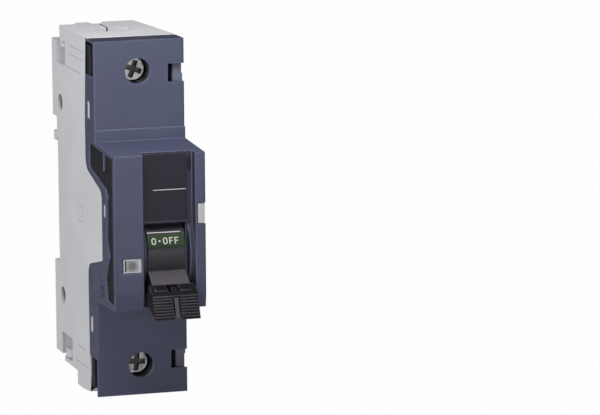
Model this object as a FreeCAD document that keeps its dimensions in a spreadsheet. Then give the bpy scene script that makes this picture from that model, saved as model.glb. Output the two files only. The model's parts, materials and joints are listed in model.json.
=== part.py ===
import FreeCAD, Part
import os
import re
import Sketcher

# Miniature circuit breaker, one pole, three 9 mm modules wide.
# Millimetres. The origin is the middle of the face that the breaker is seated by.
# +X right, +Y to the back, +Z up. The front, with its toggle, looks to -Y.

# Driving sizes: name, value, meaning
SIZES = [
    ("half_width", 13.4, "half of the case's width"),
    ("parting", 1.8, "the case's parting plane, left of the middle"),
    ("side_wall", 1.8, "side walls of the case"),
    ("end_wall", 1.6, "end walls of the case"),
    ("case_top", 51.6, "top of the case"),
    ("case_low", 52.3, "lowest point of the case"),
    ("back_top", 4.0, "back of the case's top, in front of the seat"),
    ("ear_back", 5.5, "back of both ears, behind the seat"),
    ("ear_top", 46.8, "top of the upper ear"),
    ("ear_low", 24.0, "underside of the upper ear"),
    ("heel", 0.8, "case between the upper ear and the hook"),
    ("hook_top", 19.5, "top of the fixed rail hook"),
    ("hook_back", 4.5, "back of the rail hook"),
    ("hook_grip", 0.8, "how far the hook reaches over the rail"),
    ("rail_height", 35.0, "height of the rail"),
    ("rail_play", 0.2, "play over the rail's edge"),
    ("rail_slot", 1.25, "slot for the rail's 1 mm flange"),
    ("relief", 0.2, "relief behind the rail's two edges"),
    ("foot_top", 19.3, "top of the lower ear"),
    ("foot_low", 46.6, "underside of the lower ear"),
    ("foot_front", 4.5, "front of the lower ear"),
    ("step_low", 48.3, "underside of the middle step"),
    ("step_front", 19.6, "front of the middle step"),
    ("belly_front", 26.6, "front of the lowest flat"),
    ("cover_low", 51.6, "lower end of the front cover"),
    ("seam_high", 34.2, "case to cover seam at the top"),
    ("seam_mid", 32.2, "seam behind the shoulder"),
    ("seam_foot", 33.6, "seam under the bulge"),
    ("seam_end", 34.4, "seam at the lower end"),
    ("knee", 24.8, "height where the seam turns upright"),
    ("shoulder", 13.8, "height where the seam leaves for the bulge"),
    ("bulge", 50.0, "front of the case's bulge"),
    ("bulge_top", 9.2, "top of the bulge's front"),
    ("bulge_low", 10.5, "underside of the bulge's front"),
    ("haunch", 14.2, "height where the seam comes back"),
    ("shoulder_round", 4.0, "round of the seam at the shoulder"),
    ("bulge_round", 3.0, "round of the bulge"),
    ("seam", 0.1, "gap along the seam"),
    ("seat_wall", 1.8, "wall behind the rail seat"),
    ("edge_round", 0.5, "small rounds on the outside edges"),
    ("rivet_y", 3.7, "rivets, in front of the seat"),
    ("rivet_z", 28.7, "rivets, above and below the middle"),
    ("rivet_sink", 2.5, "radius of a rivet's counterbore"),
    ("sink_depth", 1.3, "depth of a rivet's counterbore"),
    ("rivet_head", 2.1, "radius of a rivet's head"),
    ("rivet_rod", 1.4, "radius of a rivet's shank"),
    ("grip_depth", 1.0, "depth of the side recesses"),
    ("grip_over", 0.6, "how far the upper recess passes the ear's top"),
    ("grip_front", 10.2, "front of the upper recess"),
    ("grip_low", 40.6, "lower end of the upper recess"),
    ("foot_grip_front", 13.9, "front of the lower recess"),
    ("foot_grip_back", 1.8, "back of the lower recess"),
    ("foot_grip_top", 40.0, "upper end of the lower recess, below the middle"),
    ("bar_front", 7.2, "front of the bar in the upper recess"),
    ("bar_thick", 3.0, "thickness of that bar"),
    ("bar_low", 45.4, "underside of that bar"),
    ("foot_bar_front", 9.6, "front of the bar in the lower recess"),
    ("foot_bar_thick", 4.1, "thickness of that bar"),
    ("foot_bar_top", 44.0, "top of that bar, below the middle"),
    ("entry_x", -1.45, "middle of the cable entries"),
    ("entry_half", 5.6, "half of an entry's width"),
    ("taper_end", 43.4, "front end of the top's narrowed right side"),
    ("taper", 3.6, "how much the top is narrowed at its back"),
    ("taper_deep", 1.25, "depth of that step"),
    ("crown_back", 1.0, "back of the two raised parts on the top"),
    ("crown_left", 8.0, "left end of the left one"),
    ("crown_gap", 3.9, "right end of the left one"),
    ("crown_right", 0.1, "left end of the right one"),
    ("notch_back", 4.7, "front of the notch between them"),
    ("line_wide", 0.2, "half of the parting line's width on the top"),
    ("line_deep", 1.7, "depth of the parting line, through the top wall"),
    ("mark_deep", 0.15, "depth of the shallow marks on the sides"),
    ("mark_wide", 0.16, "width of those marks"),
    ("frame_back", 23.4, "back of the small square outline on the sides"),
    ("frame_size", 4.5, "size of that outline"),
    ("frame_low", 3.0, "its lower edge, below the middle"),
    ("entry_back", 14.4, "back of an entry"),
    ("entry_front", 23.7, "front of an entry"),
    ("entry_round", 4.0, "round of an entry's front corners"),
    ("shroud_wall", 1.0, "walls of the dark guides behind the wings"),
    ("shroud_gap", 0.2, "gap between a guide and the cover"),
    ("shroud_half", 5.4, "guide's reach past its screw, toward the middle"),
    ("shroud_tube", 0.9, "wall of the tube round the screwdriver's way"),
    ("ledge_deep", 3.6, "guide's ledge in front of the case's side wall"),
    ("ledge_side", 0.3, "that ledge, inside the case's side"),
    ("bay_deep", 4.0, "depth of the bay behind a notch"),
    ("clip_half", 5.0, "half of the clip channel's width"),
    ("clip_groove", 1.9, "how far the clip's rails reach to each side"),
    ("clip_front", 1.2, "front of the rail clip"),
    ("clip_thick", 3.3, "thickness of the rail clip"),
    ("clip_play", 0.3, "play around the rail clip"),
    ("clip_tail", 50.6, "lower end of the rail clip"),
    ("clip_travel", 4.0, "travel of the rail clip"),
    ("groove_step", 0.7, "guide groove, inside the clip's thickness"),
    ("peg_half", 1.2, "half of the spring peg's width"),
    ("peg_top", 40.5, "top of the spring peg, below the middle"),
    ("peg_high", 1.5, "height of the spring peg"),
    ("window_half", 2.2, "half of the width of the clip's spring window"),
    ("window_top", 30.0, "top of the spring window, below the middle"),
    ("window_low", 43.2, "lower end of the spring window"),
    ("pry_half", 2.5, "half of the width of the slot that a driver pulls"),
    ("pry_low", 1.2, "that slot, above the clip's lower end"),
    ("pry_high", 1.6, "height of that slot"),
    ("terminal_x", -0.35, "screw axis"),
    ("line_z", 42.4, "height of the line screw"),
    ("load_z", 43.0, "depth of the load screw below the middle"),
    ("access", 3.7, "radius of the screwdriver holes"),
    ("head", 3.2, "radius of a terminal screw's head"),
    ("head_front", 37.3, "front of the screw heads"),
    ("head_high", 2.6, "height of the screw heads"),
    ("screw", 2.9, "radius of the M6 shank"),
    ("screw_play", 0.05, "running clearance of the shank"),
    ("screw_end", 25.2, "end of the shank"),
    ("drive_slot", 1.55, "width of the driver slots"),
    ("drive_deep", 2.0, "depth of the driver slots"),
    ("drive_long", 2.6, "half of the driver slots' length"),
    ("line_turn", 20.0, "turn of the line screw's slots, in degrees"),
    ("load_turn", 4.0, "turn of the load screw's slots, in degrees"),
    ("cage_half", 6.3, "half of a clamp cage's width"),
    ("cage_tall", 3.3, "half of a clamp cage's height"),
    ("cage_deep", 6.0, "reach of a terminal plate past its screw, inward"),
    ("cage_out", 5.6, "reach of a terminal plate past its screw, outward"),
    ("cage_wall", 1.2, "side walls of a clamp cage"),
    ("cage_jaw", 1.6, "jaw that presses the cable"),
    ("cage_nut", 3.0, "threaded block of the cage"),
    ("cage_back", 11.5, "back of an open cage"),
    ("plate_thick", 1.8, "terminal plates"),
    ("leg_half", 4.0, "half of the width of the legs on those plates"),
    ("leg_thick", 1.6, "thickness of the legs"),
    ("plate_gap", 0.3, "gap around a terminal plate"),
    ("cover_wall", 1.5, "walls of the front cover"),
    ("cover_top", 51.3, "upper end of the front cover"),
    ("wing", 42.8, "front of the cover's two wings"),
    ("strip", 43.4, "front of the strip above the nose"),
    ("crease", 25.9, "height of that strip's upper edge"),
    ("nose_reach", 13.8, "how far the nose stands in front of the bulge"),
    ("nose", "=bulge + nose_reach", "front of the nose"),
    ("nose_top", 21.5, "upper front edge of the nose"),
    ("nose_root", 22.6, "upper edge of the nose on the wing"),
    ("nose_low", 23.0, "lower front edge of the nose"),
    ("nose_heel", 23.6, "lower edge of the nose on the wing"),
    ("chin_high", 5.0, "height of the sloping face at the nose's lower end"),
    ("chin_deep", 0.9, "how far that face runs back"),
    ("channel_left", 4.95, "left side of the toggle channel"),
    ("right_pillar", 3.0, "width of the nose right of the channel"),
    ("channel_right", "=half_width - right_pillar", "right side of the toggle channel"),
    ("channel_deep", 3.6, "depth of the toggle channel"),
    ("channel_floor", "=nose - channel_deep", "floor of the toggle channel"),
    ("channel_wall", 1.2, "walls of the toggle channel"),
    ("gate_left", 3.7, "left side of the drum's window"),
    ("gate_step", 2.0, "floor right of the drum's window"),
    ("gate_right", "=channel_right - gate_step", "right side of the drum's window"),
    ("gate_top", 1.2, "upper edge of the drum's window"),
    ("cheek_thick", 1.5, "thickness of the round cheek right of the drum"),
    ("cheek", 12.7, "radius of that cheek"),
    ("left_cheek", 12.1, "radius of the round cheek left of the drum"),
    ("slot_high", 41.0, "lower edge of the upper side slot"),
    ("slot_low", 40.9, "upper edge of the lower side slot"),
    ("slot_rim", 0.7, "cover left in front of a side slot, and above it"),
    ("notch_wide", 4.8, "width of the notches at the right edge"),
    ("sill_wide", 3.0, "width of the sill in a notch, with the wall"),
    ("notch_half", 2.65, "half of a notch's height"),
    ("notch_line", 41.5, "height of the upper notch"),
    ("notch_load", 41.85, "depth of the lower notch below the middle"),
    ("notch_deep", 0.5, "sill of a notch, behind the cover's wall"),
    ("seat_left", 2.4, "left side of the coupling clip's seat, from the case's side"),
    ("seat_low", 1.0, "lower edge of that seat"),
    ("seat_high", 7.0, "upper edge of that seat"),
    ("seat_deep", 4.0, "depth of that seat"),
    ("label_thick", 0.6, "label plate"),
    ("label_top", 21.2, "top of the label plate"),
    ("label_low", 1.3, "lower edge of the label plate"),
    ("label_left", 4.15, "left side of the label plate"),
    ("label_margin", 1.7, "channel floor right of the label plate"),
    ("label_right", "=channel_right - label_margin", "right side of the label plate"),
    ("label_round", 2.0, "round of the label plate's corner"),
    ("inlay", 0.5, "how deep the side panels lie in the cover"),
    ("inlay_gap", 0.15, "gap around inlaid pieces"),
    ("button_z", -9.95, "height of the test button"),
    ("button_margin", 2.57, "button's left side, from the case's side"),
    ("button_edge", 0.68, "button's right side, from the channel"),
    ("button_half_x", "=(half_width - channel_left - button_margin - button_edge) / 2",
     "half of the button's width"),
    ("button_x", "=button_margin + button_half_x - half_width", "middle of the test button"),
    ("button_half_z", 1.95, "half of the button's height"),
    ("button_gap", 0.2, "gap around the button"),
    ("button_long", 6.0, "length of the button"),
    ("button_flange", 0.8, "flange that holds the button in"),
    ("button_travel", 1.2, "travel of the button"),
    ("pivot_deep", 12.8, "toggle axis, behind the front of the nose"),
    ("pivot_y", "=nose - pivot_deep", "toggle axis, in front of the seat"),
    ("pivot_z", 8.0, "toggle axis, below the middle"),
    ("rest_tilt", 32.4, "how far the toggle points down when off"),
    ("drum", 11.5, "radius of the toggle's drum"),
    ("drum_wall", 1.8, "wall of the drum"),
    ("drum_left", 3.25, "left side of the drum"),
    ("drum_play", 0.6, "gap between the drum and its window's right side"),
    ("drum_right", "=gate_right - drum_play", "right side of the drum"),
    ("drum_sweep", 172.0, "how far round the drum goes, in degrees"),
    ("hub", 4.2, "radius of the toggle's hub"),
    ("toggle_pin", 1.5, "radius of the toggle's pin"),
    ("run_gap", 0.06, "running clearance of pins"),
    ("web", 2.4, "thickness of the toggle's web"),
    ("arm_top", 2.25, "upper face of the arm, off the axis"),
    ("paddle_left", 4.3, "left side of the paddle"),
    ("paddle_play", 1.35, "gap between the paddle and the channel's right side"),
    ("paddle_right", "=channel_right - paddle_play", "right side of the paddle"),
    ("paddle_root", 16.6, "inner end of the paddle"),
    ("paddle_brow", 21.05, "upper edge of the ribbed face"),
    ("paddle_tip", 27.2, "lower edge of the ribbed face"),
    ("tip_drop", 2.05, "how far the lower edge lies under the axis"),
    ("rib_count", 9.0, "grooves on the ribbed face"),
    ("rib_deep", 0.45, "depth of the grooves between ribs"),
    ("rib_gap", 0.32, "width of those grooves"),
    ("tab_x", 2.6, "middle of the padlock tab"),
    ("tab_thick", 1.3, "thickness of the padlock tab"),
    ("tab_gap", 0.3, "gap beside the padlock tab"),
    ("tab_roof", 0.8, "arm above the padlock tab's slot"),
    ("pad_root", 17.05, "inner end of the two ramps on the paddle"),
    ("pad_end", 20.0, "outer end of the ramps"),
    ("pad_high", 0.45, "height of the ramps at their outer end"),
    ("pad_left", 2.1, "left ramp, from the middle of the tab"),
    ("pad_right", 1.5, "right ramp, from the middle of the tab"),
    ("pad_inset", 0.6, "right ramp, from the drum's right side"),
    ("pad_floor", 1.6, "depth of the recess between the ramps"),
    ("band_deep", 0.4, "depth of the colour bands"),
    ("band_proud", 0.1, "how far the bands stand off the drum"),
    ("off_angle", 55.2, "middle of the off band above the arm"),
    ("off_sweep", 18.4, "how far round the off band goes"),
    ("on_angle", 47.0, "middle of the on band below the arm"),
    ("crank", 3.0, "radius at which the link turns in the hub"),
    ("crank_angle", 100.0, "angle of that point at rest, up from +Y"),
    ("link_half", 0.8, "half of the link's height"),
    ("link_thick", 1.05, "thickness of the link"),
    ("link_gap", 0.35, "gap on both sides of the link"),
    ("link_pin", 0.5, "radius of the link's bent pin"),
    ("link_reach", 9.1, "link's pin on the contact arm, from the arm's axis"),
    ("arm_stud", 0.8, "radius of that pin"),
    ("link_slack", 0.7, "play around that pin"),
    ("frame_left", 5.0, "right face of the left frame plate"),
    ("frame_play", 0.9, "gap between the drum and the right frame plate"),
    ("frame_right", "=drum_right + frame_play", "left face of the right frame plate"),
    ("frame_thick", 1.0, "thickness of the frame plates"),
    ("arm_y", 31.0, "contact arm axis, in front of the seat"),
    ("arm_z", 3.0, "contact arm axis, above the middle"),
    ("arm_pin", 1.2, "radius of the contact arm's pin"),
    ("arm_hub", 2.6, "radius of the contact arm's hub"),
    ("arm_width", 3.4, "width of the contact arm"),
    ("arm_half", 1.5, "half of the contact arm's thickness"),
    ("arm_lean", 54.4, "slope of the closed contact arm"),
    ("arm_swing", 18.0, "opening angle of the contact arm"),
    ("arm_long", 17.0, "length of the contact arm"),
    ("link_run", "=pivot_y - arm_y - crank * cos(crank_angle) + link_reach * cos(arm_lean + arm_swing)",
     "distance of the link's pins along Y"),
    ("link_drop", "=crank * sin(crank_angle) - pivot_z - arm_z + link_reach * sin(arm_lean + arm_swing)",
     "distance of the link's pins along Z"),
    ("link_short", 0.1, "how much shorter the link is than that"),
    ("link_long", "=sqrt(link_run * link_run + link_drop * link_drop) - link_short", "link from pin to eye"),
    ("tip_thick", 1.2, "thickness of the contact tips"),
    ("tip_half", 2.0, "half of a contact tip's size"),
    ("carrier_half", 3.5, "half of the fixed contact carrier's width"),
    ("carrier_thick", 1.4, "thickness of that carrier"),
    ("contact_gap", 0.12, "gap left between closed contacts"),
    ("trip_y", 38.0, "trip lever axis, in front of the seat"),
    ("trip_z", 22.0, "trip lever axis, below the middle"),
    ("trip_room", 2.45, "middle of the trip lever, from the right frame plate"),
    ("trip_x", "=frame_right - trip_room", "middle of the trip lever"),
    ("trip_half", 1.25, "half of the trip lever's thickness"),
    ("trip_hub", 1.85, "half of its hub's length"),
    ("trip_long", 8.0, "half of the trip lever's length"),
    ("trip_deep", 1.2, "half of the trip lever's depth"),
    ("trip_boss", 2.2, "radius of the trip lever's hub"),
    ("trip_pin", 1.0, "radius of the trip lever's pin"),
    ("bimetal_half", 1.75, "half of the bimetal's width"),
    ("bimetal_back", 5.2, "bimetal, behind the trip lever's axis"),
    ("bimetal_thick", 1.0, "thickness of the bimetal"),
    ("braid", 0.8, "radius of the flexible braid"),
    ("braid_gap", 0.1, "gap between the braid and the bimetal"),
    ("coil_y", 21.0, "coil axis, in front of the seat"),
    ("coil_low", 14.6, "lower end of the coil"),
    ("coil_high", 30.4, "upper end of the coil"),
    ("coil_tube", 4.4, "radius of the coil former"),
    ("coil_wire", 1.1, "radius of the coil's wire"),
    ("coil_turns", 6.0, "turns of the coil"),
    ("yoke", 1.4, "thickness of the coil's yoke"),
    ("yoke_half", 6.5, "half of the yoke's width"),
    ("plunger", 3.0, "radius of the plunger"),
    ("striker", 1.0, "radius of the plunger's striker"),
    ("chute_high", 16.5, "top of the arc chute, below the middle"),
    ("chute_pitch", 2.3, "pitch of the arc plates"),
    ("chute_count", 8.0, "arc plates"),
    ("chute_plate", 0.9, "thickness of an arc plate"),
    ("chute_cheek", 0.8, "thickness of the chute's cheeks"),
    ("chute_play", 1.8, "gap between the chute and the case's sides"),
    ("chute_half", "=half_width - side_wall - chute_play - chute_cheek", "half of an arc plate's width"),
    ("chute_front", 21.0, "front of the arc plates"),
    ("chute_back", 7.0, "back of the arc plates"),
    ("chute_notch", 4.0, "depth of the notch in an arc plate"),
    ("runner_half", 3.0, "half of the arc runner's width"),
    ("runner_thick", 1.2, "thickness of the arc runner"),
    ("runner_front", 1.4, "arc runner, in front of the plates"),
]

RIGHT = FreeCAD.Vector(1, 0, 0)
ORIGIN = FreeCAD.Vector(0, 0, 0)

doc = FreeCAD.newDocument("MiniatureCircuitBreaker")
sheet = doc.addObject("Spreadsheet::Sheet", "Sizes")
for row, (word, number, meaning) in enumerate(SIZES, 1):
    sheet.set("A%d" % row, word)
    sheet.set("B%d" % row, str(number))
    sheet.set("C%d" % row, meaning)
    sheet.setAlias("B%d" % row, word)
doc.recompute()

WORDS = {word for word, _, _ in SIZES}
SUBPARTS = []


# Expressions

def tied(text):
    """An expression in which each size's word points to its cell."""
    return re.sub(r"[a-z_]+", lambda word: ("Sizes." if word.group() in WORDS else "") + word.group(),
                  str(text))


def number_of(text):
    return float(sheet.evalExpression(tied(text)))


def bind(item, places):
    for prop, text in places.items():
        item.setExpression(prop, tied(text))


def minus(text):
    return "-(%s)" % text


def mirrored(ends, side):
    """A stretch on the right side, or its mirror image on the left one."""
    return ends if side > 0 else (minus(ends[1]), minus(ends[0]))


# Solids made of primitives

TURNS = {
    "x": FreeCAD.Rotation(FreeCAD.Vector(0, 1, 0), 90),
    "y": FreeCAD.Rotation(RIGHT, -90),
    "z": FreeCAD.Rotation(),
}


def shape_block(item, x, y, z):
    """A box between the low and high limits on each axis."""
    for prop, base, (low, high) in (("Length", "x", x), ("Width", "y", y), ("Height", "z", z)):
        bind(item, {prop: "(%s) - (%s)" % (high, low), "Placement.Base." + base: low})
    return item


def shape_rod(item, axis, centre, radius, low, high):
    """A cylinder along an axis; centre gives the other two places in X, Y, Z order."""
    item.Placement = FreeCAD.Placement(ORIGIN, TURNS[axis])
    spots = dict(zip([a for a in "xyz" if a != axis], centre))
    spots[axis] = low
    bind(item, {"Placement.Base." + a: spot for a, spot in spots.items()})
    bind(item, {"Radius": radius, "Height": "(%s) - (%s)" % (high, low)})
    return item


def block(name, x, y, z):
    return shape_block(doc.addObject("Part::Box", name), x, y, z)


def rod(name, axis, centre, radius, low, high):
    return shape_rod(doc.addObject("Part::Cylinder", name), axis, centre, radius, low, high)


def fused(name, *pieces):
    item = doc.addObject("Part::MultiFuse", name)
    item.Shapes = list(pieces)
    return item


def cut(name, base, *tools):
    item = doc.addObject("Part::Cut", name)
    item.Base = base
    item.Tool = tools[0] if len(tools) == 1 else fused(name + "_tools", *tools)
    return item


def subpart(item, label):
    item.Label = label
    SUBPARTS.append(item)
    return item


def turned(item, y, z, angle):
    """Places a finished piece by its own pivot and turns it about X."""
    item.Placement = FreeCAD.Placement(ORIGIN, FreeCAD.Rotation(RIGHT, 1))
    bind(item, {"Placement.Base.y": y, "Placement.Base.z": z, "Placement.Rotation.Angle": angle})
    return item


# Solids made of sketches

def new_body(name):
    return doc.addObject("PartDesign::Body", name)


def sketch_on(body, plane, name, corners, offset="0"):
    """A closed outline of straight sides; each corner's place is tied to the sheet."""
    sketch = body.newObject("Sketcher::SketchObject", name)
    role = [f for f in body.Origin.OriginFeatures if f.Role == plane + "_Plane"][0]
    sketch.AttachmentSupport = [(role, "")]
    sketch.MapMode = "FlatFace"
    bind(sketch, {"AttachmentOffset.Base.z": offset})
    spots = [FreeCAD.Vector(number_of(a), number_of(b), 0) for a, b in corners]
    count = len(spots)
    sketch.addGeometry([Part.LineSegment(spots[i], spots[(i + 1) % count]) for i in range(count)], False)
    sketch.addConstraint([Sketcher.Constraint("Coincident", i, 2, (i + 1) % count, 1) for i in range(count)])
    for i, corner in enumerate(corners):
        for kind, place, text in (("DistanceX", spots[i].x, corner[0]), ("DistanceY", spots[i].y, corner[1])):
            index = sketch.addConstraint(Sketcher.Constraint(kind, -1, 1, i, 1, place))
            bind(sketch, {"Constraints[%d]" % index: text})
    return sketch


def pad(body, name, plane, corners, low, high):
    """Adds a prism between two places on the axis that crosses the plane."""
    backward = plane == "XZ"
    feature = body.newObject("PartDesign::Pad", name)
    feature.Profile = sketch_on(body, plane, name + "_outline", corners, minus(high) if backward else low)
    bind(feature, {"Length": "(%s) - (%s)" % (high, low)})
    return feature


def pocket(body, name, plane, corners, low, high):
    """Removes a prism between two places on the axis that crosses the plane."""
    backward = plane == "XZ"
    feature = body.newObject("PartDesign::Pocket", name)
    feature.Profile = sketch_on(body, plane, name + "_outline", corners, minus(high) if backward else low)
    feature.Reversed = True
    bind(feature, {"Length": "(%s) - (%s)" % (high, low)})
    return feature


def add_block(body, name, x, y, z):
    return shape_block(body.newObject("PartDesign::AdditiveBox", name), x, y, z)


def cut_block(body, name, x, y, z):
    return shape_block(body.newObject("PartDesign::SubtractiveBox", name), x, y, z)


def add_rod(body, name, axis, centre, radius, low, high):
    return shape_rod(body.newObject("PartDesign::AdditiveCylinder", name), axis, centre, radius, low, high)


def cut_rod(body, name, axis, centre, radius, low, high):
    return shape_rod(body.newObject("PartDesign::SubtractiveCylinder", name), axis, centre, radius, low, high)


def rounded(body, name, base, radius, wanted):
    """Rounds the edges of a feature that pass a test on their middle and direction."""
    doc.recompute()
    names = []
    for index, edge in enumerate(base.Shape.Edges, 1):
        first, last = edge.Vertexes[0].Point, edge.Vertexes[-1].Point
        way = last - first
        if way.Length > 0.01 and wanted((first + last) * 0.5, way.normalize()):
            names.append("Edge%d" % index)
    if not names:
        raise SystemExit("no edge to round for " + name)
    feature = body.newObject("PartDesign::Fillet", name)
    feature.Base = (base, names)
    bind(feature, {"Radius": radius})
    return feature


def near(first, second, reach=0.05):
    return abs(first - second) < reach


def across_at(spots):
    """A test for edges along X at given places in Y and Z."""
    places = [(number_of(y), number_of(z)) for y, z in spots]
    return lambda middle, way: abs(way.x) > 0.99 and any(
        near(middle.y, y) and near(middle.z, z) for y, z in places
    )


# Outlines shared by the case and its cover

def seam_line(back, up):
    """The seam between case and cover from top to bottom, moved by a gap."""
    return [
        ("-seam_mid - %s" % back, "knee"),
        ("-seam_mid - %s" % back, "shoulder + %s" % up),
        ("-bulge - %s" % back, "bulge_top + %s" % up),
        ("-bulge - %s" % back, "-bulge_low - %s" % up),
        ("-seam_foot - %s" % back, "-haunch - %s" % up),
    ]


def case_outline():
    rail_edge = "rail_height / 2 + rail_play"
    back = [
        ("-back_top", "case_top"),
        ("-back_top", "ear_top"),
        ("ear_back", "ear_top"),
        ("ear_back", "ear_low"),
        ("heel", "ear_low"),
        ("heel", "hook_top"),
        ("hook_back", "hook_top"),
        ("hook_back", "rail_height / 2 - hook_grip"),
        ("rail_slot", "rail_height / 2 - hook_grip"),
        ("rail_slot", rail_edge),
        ("-relief", rail_edge),
        ("-relief", "rail_height / 2 - hook_grip - relief"),
        ("0", "rail_height / 2 - hook_grip - relief"),
        ("0", "-rail_height / 2 + hook_grip + relief"),
        ("-relief", "-rail_height / 2 + hook_grip + relief"),
        ("-relief", "-foot_top"),
        ("ear_back", "-foot_top"),
        ("ear_back", "-foot_low"),
        ("-foot_front", "-foot_low"),
        ("-foot_front", "-step_low"),
        ("-step_front", "-step_low"),
        ("-step_front", "-case_low"),
        ("-belly_front", "-case_low"),
    ]
    front = [("-seam_high", "case_top")] + seam_line("0", "0") + [("-seam_end", "-cover_low")]
    return back + front[::-1]


def cavity_outline():
    """The hollow of the case, open to the front."""
    mouth = "-bulge - 2"
    roof, deep = "case_top - end_wall", "-back_top - side_wall"
    return [
        (mouth, roof),
        (deep, roof),
        (deep, "hook_top + end_wall"),
        ("-seat_wall", "hook_top + end_wall"),
        ("-seat_wall", "-foot_top + end_wall"),
        ("-foot_front - side_wall", "-foot_top + end_wall"),
        ("-foot_front - side_wall", "-step_low + end_wall"),
        ("-step_front - end_wall", "-step_low + end_wall"),
        ("-step_front - end_wall", "-case_low + end_wall"),
        ("-belly_front", "-case_low + end_wall"),
        (mouth, "-cover_low + end_wall"),
    ]


# Windows of the cover's sides through which the case's snap tabs show:
# name, front and back in Y, bottom and top in Z
SNAPS = [
    ("high", ("-seam_mid - 5.6", "-seam_mid - 2.7"), ("28.4", "33.5")),
    ("mid", ("-bulge - 4", "-bulge - 1.7"), ("2.4", "6.2")),
    ("low", ("-seam_foot - 4.6", "-seam_foot - 1.7"), ("-33.7", "-29.0")),
]
SNAP_ROOT = {"high": "-seam_mid + 2", "mid": "-bulge + 2", "low": "-seam_foot + 2"}


def add_snap_tabs(body, side):
    """Tongues that reach under the cover's side wall and fill its windows."""
    inner = "half_width - cover_wall"
    for name, (front, back), (low, high) in SNAPS:
        front += " + inlay_gap"
        up = (low + " + inlay_gap", high + " - inlay_gap")
        tongue = mirrored((inner + " - 1.1", inner), side)
        tab = mirrored((inner, "half_width - 0.25"), side)
        add_block(body, "snap_%s_tongue" % name, tongue, (front, SNAP_ROOT[name]), up)
        add_block(body, "snap_%s_tab" % name, tab, (front, back + " - inlay_gap"), up)


# Case

# Shallow grooves on the sides: back and front in front of the seat, height
SIDE_MARKS = [
    ("15.9", "33.2", "47.0"),
    ("15.8", "31.9", "44.5"),
    ("2.0", "28.0", "40.4"),
    ("17.7", "32.0", "-45.3"),
    ("20.0", "29.3", "-40.5"),
]


def add_side_marks(body, side):
    """Shallow lines on a side, and a small square outline made of four more."""
    outer = mirrored(("half_width - mark_deep", "half_width + 1"), side)
    for index, (back, front, high) in enumerate(SIDE_MARKS):
        up = (high + " - mark_wide / 2", high + " + mark_wide / 2")
        cut_block(body, "mark_%d" % index, outer, (minus(front), minus(back)), up)
    front, back = "-frame_back - frame_size", "-frame_back"
    low, high = "-frame_low", "-frame_low + frame_size"
    for name, start in (("low", low), ("high", high)):
        cut_block(body, "outline_" + name, outer, (front, back + " + mark_wide"),
                  (start, start + " + mark_wide"))
    for name, start in (("front", front), ("back", back)):
        cut_block(body, "outline_" + name, outer, (start, start + " + mark_wide"),
                  (low, high + " + mark_wide"))


def shape_top(body, side):
    """The raised parts at the back of the top, the notch between them and the parting line."""
    over, deep = "case_top + 1", "case_top - taper_deep"
    crown, gap, line = {
        -1: (("-crown_left", "-crown_gap"), ("-crown_gap", "-parting"), ("-parting - line_wide", "-parting")),
        1: (("crown_right", "half_width - taper"), ("-parting", "crown_right"),
            ("-parting", "-parting + line_wide")),
    }[side]
    add_block(body, "crown", crown, ("-back_top - 0.5", "-crown_back"), ("ear_top - 1", "case_top"))
    cut_block(body, "notch", gap, ("-notch_back", "-crown_back"), (deep, over))
    cut_block(body, "parting_line", line, ("-entry_back - 0.5", "-notch_back + 0.5"),
              ("case_top - line_deep", over))
    if side > 0:
        end = "-crown_back + 0.5"
        pocket(body, "narrowed_side", "XY", [
            ("half_width", "-taper_end"),
            ("half_width - taper", end),
            ("half_width + 1", end),
            ("half_width + 1", "-taper_end"),
        ], deep, over)


def shape_grips(body, side):
    """A recess at each end of a side, with a bar across it."""
    outer = mirrored(("half_width - grip_depth", "half_width + 1"), side)
    cut_block(body, "upper_grip", outer, ("-grip_front", "0.2"), ("grip_low", "ear_top + grip_over"))
    cut_block(body, "lower_grip", outer, ("-foot_grip_front", "-foot_grip_back"),
              ("-foot_low - 0.3", "-foot_grip_top"))
    bar = mirrored(("half_width - grip_depth - 0.1", "half_width - 0.1"), side)
    add_block(body, "upper_bar", bar, ("-bar_front", "-bar_front + bar_thick"),
              ("bar_low", "ear_top + grip_over"))
    add_block(body, "lower_bar", bar, ("-foot_bar_front", "-foot_bar_front + foot_bar_thick"),
              ("-foot_low", "-foot_bar_top"))


def cut_rivet_ways(body, side):
    sink = mirrored(("half_width - sink_depth", "half_width + 1"), side)
    for place, spot in (("upper", "rivet_z"), ("lower", "-rivet_z")):
        cut_rod(body, place + "_sink", "x", ("-rivet_y", spot), "rivet_sink", *sink)
        cut_rod(body, place + "_rivet_hole", "x", ("-rivet_y", spot), "rivet_rod", "-half_width - 1",
                "half_width + 1")


def cut_entry(body, place, side, low, high):
    """A cable entry through an end wall, with its front corner rounded."""
    left, right = "entry_x - entry_half", "entry_x + entry_half"
    mouth = pocket(body, place + "_entry", "XY", [
        (left, "-entry_back"), (left, "-entry_front"), (right, "-entry_front"), (right, "-entry_back"),
    ], low, high)
    corner = number_of("entry_x") + side * number_of("entry_half")
    front = number_of("-entry_front")
    middle_z = number_of("(%s + %s) / 2" % (low, high))
    rounded(body, place + "_entry_round", mouth, "entry_round", lambda middle, way: (
        abs(way.z) > 0.99 and near(middle.x, corner) and near(middle.y, front)
        and abs(middle.z - middle_z) < 4))


def cut_clip_channel(body, side):
    """Channel and grooves for the sliding clip, and the peg that its spring stands on."""
    low, high = "-foot_low - 1", "-foot_top + 1"
    wide = ("-clip_half - clip_groove", "clip_half + clip_groove")
    groove = ("clip_front + groove_step", "clip_front + clip_thick - groove_step")
    cut_block(body, "clip_channel", ("-clip_half", "clip_half"), ("clip_front - clip_play", "ear_back + 1"),
              (low, high))
    cut_block(body, "clip_grooves", wide, groove, (low, high))
    if side > 0:
        add_block(body, "spring_peg", ("-peg_half", "peg_half"),
                  ("clip_front - clip_play - 0.2", "clip_front + clip_thick"),
                  ("-peg_top - peg_high", "-peg_top"))


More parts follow.
